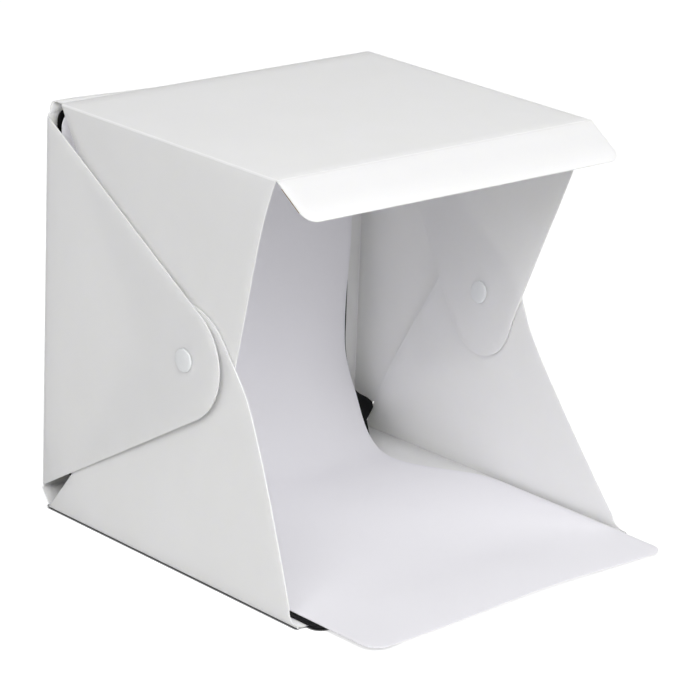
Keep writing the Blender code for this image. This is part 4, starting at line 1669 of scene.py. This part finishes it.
@dataclass
class LightStrip(Assembly):
    """The visor with the LED board stuck under it and the power inlet at its right end."""

    visor_steps: int = 14
    visor_cell: float = 0.006
    tape_thickness: float = 0.0006
    tape_inset: float = 0.002
    board_half: float = 0.1115
    board_width: float = 0.018
    board_thickness: float = 0.0010
    board_start: float = 0.0035
    board_corner: float = 0.0008
    board_corner_steps: int = 5
    board_cell: float = 0.008
    cut_below: float = 0.6
    count: int = 20
    package: Triple = (0.0035, 0.0028, 0.0008)
    package_edge: float = 0.0001
    package_wall: float = 0.00045
    pocket: float = 0.0002
    pocket_play: float = 0.0003
    phosphor_fill: float = 0.9
    end_margin: float = 0.010
    led_joint: Triple = (0.0007, 0.0018, 0.0004)
    led_joint_drop: float = 0.00015
    joint_edge: float = 0.00012
    resistor: Triple = (0.0013, 0.0012, 0.0005)
    resistor_end: Triple = (0.0006, 0.0013, 0.0005)
    resistor_reach: float = 0.0009
    resistor_place: float = 0.0052
    resistor_rise: float = 0.00026
    body_edge: float = 0.00006
    inlet: Triple = (0.0056, 0.0076, 0.0027)
    inlet_from_fold: float = 0.0132
    inlet_wall: float = 0.0004
    inlet_chamfer: float = 0.0011
    inlet_corner: float = 0.0004
    inlet_lip: float = 0.00018
    lip_length: float = 0.0004
    lip_depth: float = 0.0005
    tongue: Triple = (0.0036, 0.0044, 0.0007)
    tongue_edge: float = 0.00012
    finger: Triple = (0.0004, 0.0028, 0.00012)
    finger_edge: float = 0.00003
    finger_count: int = 5
    finger_pitch: float = 0.00065
    finger_shift: float = 0.0002
    finger_rise: float = 0.00004
    place: Matrix = field(init=False)

    def __post_init__(self) -> None:
        """Takes the visor's frame from the pattern."""
        self.place = self.pattern.visor_frame()

    @property
    def board_face(self) -> float:
        """The board's lit side above the visor's outer face."""
        stand = self.pattern.stand
        return stand + self.tape_thickness + self.pattern.gap + self.board_thickness

    def build(self) -> None:
        """Builds the visor, its fold, the board and all that stands on it."""
        self.visor()
        self.board()
        self.lights()
        self.resistors()
        self.power_inlet()

    def slab(
        self, name: str, outline: list[Vector], low: float, thickness: float, cell: float
    ) -> bpy.types.Mesh:
        """A flat plate that lies over the visor from a height up."""
        middle = self.place @ Matrix.Translation((0.0, 0.0, low + thickness / 2))
        return sheet_solid(name, outline, [], flat_surface(middle), thickness, cell)

    def visor(self) -> None:
        """The folded-down front strip of the sheet."""
        pattern = self.pattern
        half, radius = pattern.visor_half_width, pattern.visor_corner
        corners = band((half, pattern.visor_trim), (half, pattern.visor_length))
        outline = round_corners(corners, [0.0, 0.0, radius, radius], self.visor_steps)
        mesh = self.slab("visor", outline, 0.0, pattern.sheet, self.visor_cell)
        self.ride(as_object("visor_sheet", mesh, SHEET_FINISH), "visor", "white_sheet", ["visor"])
        ends = [pattern.at(x, -pattern.top_depth, pattern.height) for x in (-half, half)]
        arms = (REAR, heading(self.place, REAR))
        bodies, trim = ("top_panel", "visor"), pattern.visor_trim
        Crease("visor_fold", bodies, tuple(ends), arms, trim, pattern.sheet).build(self)

    def board(self) -> None:
        """The foam tape and the circuit board on it."""
        inset, half, cell = self.tape_inset, self.board_half, self.board_cell
        low, high = self.board_start, self.board_start + self.board_width
        corners = band((half - inset, low + inset), (half - inset, high - inset))
        outline = [Vector(corner) for corner in corners]
        mesh = self.slab("tape", outline, self.pattern.stand, self.tape_thickness, cell)
        obj = as_object("led_board_tape_strip", mesh, FOAM_TAPE_FINISH)
        self.ride(obj, "visor", "foam_tape", ["led_board_tape"])
        corners, radii = band((half, low), (half, high)), [self.board_corner] * 4
        outline = round_corners(corners, radii, self.board_corner_steps)
        base = self.board_face - self.board_thickness
        mesh = self.slab("board", outline, base, self.board_thickness, cell)
        normal = heading(self.place, UP)
        cut = mesh.attributes.new("cut_edge", "FLOAT", "FACE")
        slopes = [abs(face.normal.dot(normal)) for face in mesh.polygons]
        cut.data.foreach_set("value", [float(slope < self.cut_below) for slope in slopes])
        obj = as_object("led_board_laminate", mesh, BOARD_FINISH)
        self.ride(obj, "visor", "circuit_board", ["led_board"])

    def row(
        self,
        name: str,
        piece: bpy.types.Mesh,
        lights: int,
        centre: Vector,
        finish: Finish,
        slot: str,
        replaced: Iterable[str] = (),
    ) -> None:
        """A row of like pieces along the board, made by Geometry Nodes.

        Args:
            name: the row's name.
            piece: the mesh that is repeated.
            lights: how many LEDs there are for each copy.
            centre: the row's middle, in the visor's frame.
            finish: their finish.
            slot: the record's material slot.
            replaced: the solids that the row stands for.
        """
        pitch = 2 * lights * (self.board_half - self.end_margin) / (self.count - 1)
        mesh = row_of(name, piece, self.count // lights, pitch, finish)
        mesh.transform(self.place @ Matrix.Translation(centre))
        self.ride(as_object(name, mesh), "visor", slot, replaced)

    def joints(
        self, name: str, size: Triple, lights: int, centre: Vector, reach: float, slot: str
    ) -> None:
        """The soldered ends of a row of pieces, each end a row of its own.

        Args:
            name: the start of the two rows' names.
            size: one joint's length, width and height.
            lights: how many LEDs there are for each piece.
            centre: the pieces' middle, in the visor's frame.
            reach: how far a joint lies from its piece's middle.
            slot: the record's material slot.
        """
        for side in Side:
            joint = block("joint", size, Matrix(), self.joint_edge)
            spot = centre + Vector((side.value * reach, 0.0, 0.0))
            self.row(f"{name}_{side.label}", joint, lights, spot, SOLDER_FINISH, slot)

    def lights(self) -> None:
        """The LEDs: housings with a pocket, the phosphor in it and the solder at both ends."""
        length, width, rise = self.package
        middle = self.board_start + self.board_width / 2
        base = Vector((0.0, middle, self.board_face + self.pattern.gap))
        raised = Matrix.Translation((0.0, 0.0, rise / 2))
        work = cube(self.package, raised, self.package_edge, 1, 0.5)
        top = max(work.faces, key=lambda face: face.calc_center_median().z)
        bmesh.ops.inset_region(work, faces=[top], thickness=self.package_wall, depth=0.0)
        bmesh.ops.translate(work, verts=top.verts[:], vec=(0.0, 0.0, -self.pocket))
        housing = from_bmesh("housing", work)
        chips = [f"led_chip_{number:02d}" for number in range(1, self.count + 1)]
        self.row("led_housings", housing, 1, base, HOUSING_FINISH, "led_package", chips)
        fill = [side - 2 * self.package_wall - self.pocket_play for side in (length, width)]
        raised = Matrix.Translation((0.0, 0.0, rise - self.pocket / 2))
        size = (*fill, self.pocket * self.phosphor_fill)
        phosphor = block("phosphor", size, raised, self.body_edge)
        self.row("led_phosphors", phosphor, 1, base, PHOSPHOR_FINISH, "led_package")
        spot = base + Vector((0.0, 0.0, -self.led_joint_drop))
        self.joints("led_solder", self.led_joint, 1, spot, length / 2, "led_package")

    def resistors(self) -> None:
        """One resistor for each pair of LEDs, with its soldered ends."""
        row_y = self.board_start + self.board_width / 2 - self.resistor_place
        centre = Vector((0.0, row_y, self.board_face + self.resistor_rise))
        body = block("resistor", self.resistor, Matrix(), self.body_edge)
        self.row("led_resistors", body, 2, centre, RESISTOR_FINISH, "circuit_board")
        size, reach = self.resistor_end, self.resistor_reach
        self.joints("resistor_ends", size, 2, centre, reach, "circuit_board")

    def power_inlet(self) -> None:
        """The micro USB inlet: a folded shell with a flared mouth, and the contact tongue."""
        base = self.board_face + self.pattern.gap
        centre = Vector((self.board_half, self.inlet_from_fold, base + self.inlet[2] / 2))
        obj = as_object("power_inlet_shell", self.inlet_shell(centre), SHELL_FINISH)
        self.ride(obj, "visor", "power_socket_steel", ["power_socket_shell"])
        length, _, thick = self.tongue
        x = -self.inlet[0] + self.inlet_wall + self.pattern.gap + length / 2
        middle = self.place @ Matrix.Translation(centre + Vector((x, 0.0, 0.0)))
        mesh = block("tongue", self.tongue, middle, self.tongue_edge)
        obj = as_object("power_inlet_tongue", mesh, CARRIER_FINISH)
        self.ride(obj, "visor", "contact_carrier", ["power_socket_tongue"])
        name = "power_inlet_contacts"
        finger = block("finger", self.finger, Matrix(), self.finger_edge)
        mesh = row_of(name, finger, self.finger_count, self.finger_pitch, SOLDER_FINISH)
        spot = centre + Vector((x + self.finger_shift, 0.0, thick / 2 + self.finger_rise))
        turned = Matrix.Rotation(math.pi / 2, 4, "Z")
        mesh.transform(self.place @ Matrix.Translation(spot) @ turned)
        self.ride(as_object(name, mesh), "visor", "power_socket_steel")

    def inlet_shell(self, centre: Vector) -> bpy.types.Mesh:
        """The inlet's folded shell, open at its flared mouth.

        Args:
            centre: the middle of its mouth, in the visor's frame.

        Returns:
            One closed mesh.
        """
        depth, width, rise = self.inlet
        half, tall = width / 2, rise / 2
        chamfer, lip, wall = self.inlet_chamfer, self.inlet_lip, self.inlet_wall
        section = [
            (-half, -tall + chamfer),
            (-half + chamfer, -tall),
            (half - chamfer, -tall),
            (half, -tall + chamfer),
            (half, tall),
            (-half, tall),
        ]
        ring = round_corners(section, [self.inlet_corner] * len(section), 3)
        inner_scale = (1 - wall / half, 1 - wall / tall)
        stations = (
            (-depth, 1.0, 1.0, 0.0),
            (-self.lip_length, 1.0, 1.0, 0.0),
            (0.0, 1.0, 1.0, lip),
            (0.0, *inner_scale, lip),
            (-self.lip_depth, *inner_scale, 0.0),
            (-depth + wall, *inner_scale, 0.0),
        )
        work = bmesh.new()
        loops = []
        for along, across, upward, flare in stations:
            loop = []
            for point in ring:
                spread = Vector((point.x * across, point.y * upward))
                spread += Vector((point.x, point.y)).normalized() * flare
                spot = centre + Vector((along, spread.x, min(max(spread.y, -tall), tall)))
                loop.append(work.verts.new(self.place @ spot))
            loops.append(loop)
        bridge(work, loops)
        work.faces.new(loops[0])
        work.faces.new(loops[-1])
        return from_bmesh("shell", work)


# The studio


@dataclass(frozen=True)
class Studio:
    """The floor, the soft lights and the camera at the photograph's angle."""

    azimuth: float = math.radians(-41.14)
    elevation: float = math.radians(17.87)
    roll: float = math.radians(2.10)
    distance: float = 2.114
    target: Triple = (0.0, 0.003, 0.113)
    focal_pixels: float = 3769.4
    frame_pixels: float = 700.0
    centre_pixels: Point2 = (333.4, 327.8)
    sensor_mm: float = 36.0
    far_clip: float = 50.0
    world_strength: float = 0.18
    floor_size: float = 6.0
    floor_depth: float = 0.00005
    # The floor's tones: the dark one is a painted contact shadow, the pale one is the floor's own.
    floor_tones: tuple[str, str] = ("#3A3A3C", "#E2E2E2")
    floor_roughness: float = 0.9
    floor_glow: float = 0.70
    # How near and how sharply the painted contact shadow darkens the floor beside the object.
    contact: float = 0.0020
    contact_power: float = 6.0
    lamps: tuple[tuple[str, float, Triple, float], ...] = (
        ("above", 1.6, (0.2, 0.1, 2.2), 5.0),
        ("front", 1.2, (0.0, -1.7, 1.3), 12.2),
        ("front_left", 1.0, (-0.9, -1.4, 1.6), 10.3),
        ("left", 1.2, (-1.6, -0.8, 1.2), 13.2),
        ("right", 1.2, (1.2, -1.4, 1.2), 8.2),
    )

    def build(self) -> None:
        """Sets the look of the whole scene."""
        bpy.context.scene.view_settings.view_transform = "Standard"
        self.camera()
        self.world()
        self.floor()
        for name, size, place, power in self.lamps:
            self.lamp(name, size, place, power)
        LOG.info("studio ready")

    def camera(self) -> None:
        """The camera, with the small shift that the photograph's framing needs."""
        a, e, r = self.azimuth, self.elevation, self.roll
        back = Vector((math.sin(a) * math.cos(e), -math.cos(a) * math.cos(e), math.sin(e)))
        level = Vector((math.cos(a), math.sin(a), 0.0))
        above = back.cross(level)
        right = level * math.cos(r) + above * math.sin(r)
        up = above * math.cos(r) - level * math.sin(r)
        data = bpy.data.cameras.new("camera")
        data.sensor_width, data.clip_end = self.sensor_mm, self.far_clip
        data.lens = self.focal_pixels / self.frame_pixels * data.sensor_width
        data.shift_x = 0.5 - self.centre_pixels[0] / self.frame_pixels
        data.shift_y = self.centre_pixels[1] / self.frame_pixels - 0.5
        place = Matrix((right, up, back)).transposed().to_4x4()
        place.translation = Vector(self.target) + back * self.distance
        obj = linked("camera", data)
        obj.matrix_world = place
        bpy.context.scene.camera = obj

    def world(self) -> None:
        """Soft even light, seen as plain white by the camera and in reflections."""
        world = bpy.data.worlds.new("studio")
        bpy.context.scene.world = world
        world.use_nodes = True
        tree = world.node_tree
        strength = mixed(tree, self.seen(tree), self.world_strength, 1.0)
        feed(tree, tree.nodes["Background"], {"Color": linear("#FFFFFF"), "Strength": strength})

    def seen(self, tree: bpy.types.NodeTree) -> bpy.types.NodeSocket:
        """1 for rays from the camera, mirrors and clear pieces, else 0.

        Args:
            tree: the node tree that asks.

        Returns:
            The answer's output socket.
        """
        path = add_node(tree, "ShaderNodeLightPath").outputs
        both = maths(tree, "MAXIMUM", path["Is Camera Ray"], path["Is Glossy Ray"])
        return maths(tree, "MAXIMUM", both, path["Is Transmission Ray"])

    def floor(self) -> None:
        """A pale floor that reads as white and keeps the object's cast shadow, with a painted
        contact shadow where the object stands close.
        """
        mesh = bpy.data.meshes.new("floor")
        half = self.floor_size / 2
        corners = [(x, y, -self.floor_depth) for x, y in band((half, -half), (half, half))]
        mesh.from_pydata(corners, [], [(0, 1, 2, 3)])
        material = bpy.data.materials.new("pale_floor")
        material.use_nodes = True
        tree = material.node_tree
        # Painted contact shadow: ambient occlusion turns the floor's colour dark and dims its glow
        # where the object stands close.
        near = {"Distance": self.contact}
        contact_occlusion = add_node(tree, "ShaderNodeAmbientOcclusion", near).outputs["AO"]
        unshadowed_share = maths(tree, "POWER", contact_occlusion, self.contact_power)
        painted_shadow_tone, pale = (linear(tone) for tone in self.floor_tones)
        tone = mixed(tree, unshadowed_share, painted_shadow_tone, pale)
        level = maths(tree, "MULTIPLY", unshadowed_share, self.floor_glow)
        inputs = {
            "Base Color": tone,
            "Roughness": self.floor_roughness,
            "Emission Color": linear("#FFFFFF"),
            "Emission Strength": maths(tree, "MULTIPLY", self.seen(tree), level),
        }
        feed(tree, tree.nodes["Principled BSDF"], inputs)
        mesh.materials.append(material)
        obj = linked("floor", mesh)
        obj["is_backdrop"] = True

    def lamp(self, name: str, size: float, place: Triple, power: float) -> None:
        """A large soft lamp that looks at the object.

        Args:
            name: the lamp's name.
            size: the side of its square.
            place: where it hangs.
            power: its power in watts.
        """
        data = bpy.data.lights.new(name, "AREA")
        data.shape, data.size, data.energy = "SQUARE", size, power
        spot = Vector(place)
        linked(name, data).matrix_world = facing(spot, spot - Vector(self.target))


def backdrops(pattern: FoldPattern) -> list[Backdrop]:
    """The black sheet and the white one in front of it, as they hang on their pads.

    Args:
        pattern: the folded sheet that they stand in.

    Returns:
        Both sheets, the rear one first.
    """
    thickness, step = pattern.backdrop, pattern.pad + pattern.gap
    black_y = -pattern.stand - 2 * step - thickness / 2
    black_z = pattern.stand + thickness / 2
    black = Backdrop(
        pattern,
        name="black_backdrop",
        finish=BLACK_BACKDROP_FINISH,
        back_y=black_y,
        floor_z=black_z,
        radius=0.0600,
        top_gap=0.0042,
        reach=0.0095,
        rear_edges=(-0.1130, 0.1050),
        front_edges=(-0.1152, 0.1095),
        waist=0.0165,
        waist_length=0.055,
        waist_rise=0.047,
        # Painted shade: the negative dip bulges the right edge out low on the bend, so black sheet
        # fills the gap between the right flaps where there is only shade.
        dip=-0.0094,
        dip_place=0.0483,
        dip_length=0.0110,
        corner=0.006,
    )
    white = Backdrop(
        pattern,
        name="white_backdrop",
        finish=WHITE_BACKDROP_FINISH,
        back_y=black_y - thickness - pattern.gap - 2 * step,
        floor_z=black_z + thickness + pattern.gap,
        radius=0.0576,
        top_gap=0.0038,
        reach=0.0430,
        rear_edges=(-0.1125, 0.1035),
        front_edges=(-0.1112, 0.1172),
        dip=0.0024,
        skew=0.0065,
        ripple=0.0024,
    )
    return [black, white]


def write_sizes(before: Sequence[object], after: Sequence[object]) -> None:
    """Puts the solids' box and the dressed object's box side by side as JSON text, which is then
    dropped.

    Args:
        before: the bounds of the solids.
        after: the bounds with the dressed pieces.
    """

    def plain(value: object) -> object:
        """A number or a box as plain numbers in lists."""
        return float(value) if isinstance(value, (int, float)) else [plain(item) for item in value]

    json.dumps({"cad": plain(before), "visual": plain(after)})


def main() -> None:
    """Builds the light tent from its sheet in to its light strip, then the studio."""
    logging.basicConfig(level=logging.INFO, format="%(message)s")
    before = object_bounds()
    pattern = FoldPattern()
    Studio().build()
    CreasedShell(pattern).build()
    for side in Side:
        SideWall(pattern, side).build()
        PressSnap(pattern, side).build()
    for sheet in backdrops(pattern):
        sheet.build()
    HookAndLoop(pattern).build()
    LightStrip(pattern).build()
    write_sizes(before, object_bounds())


if __name__ == "__main__":
    main()
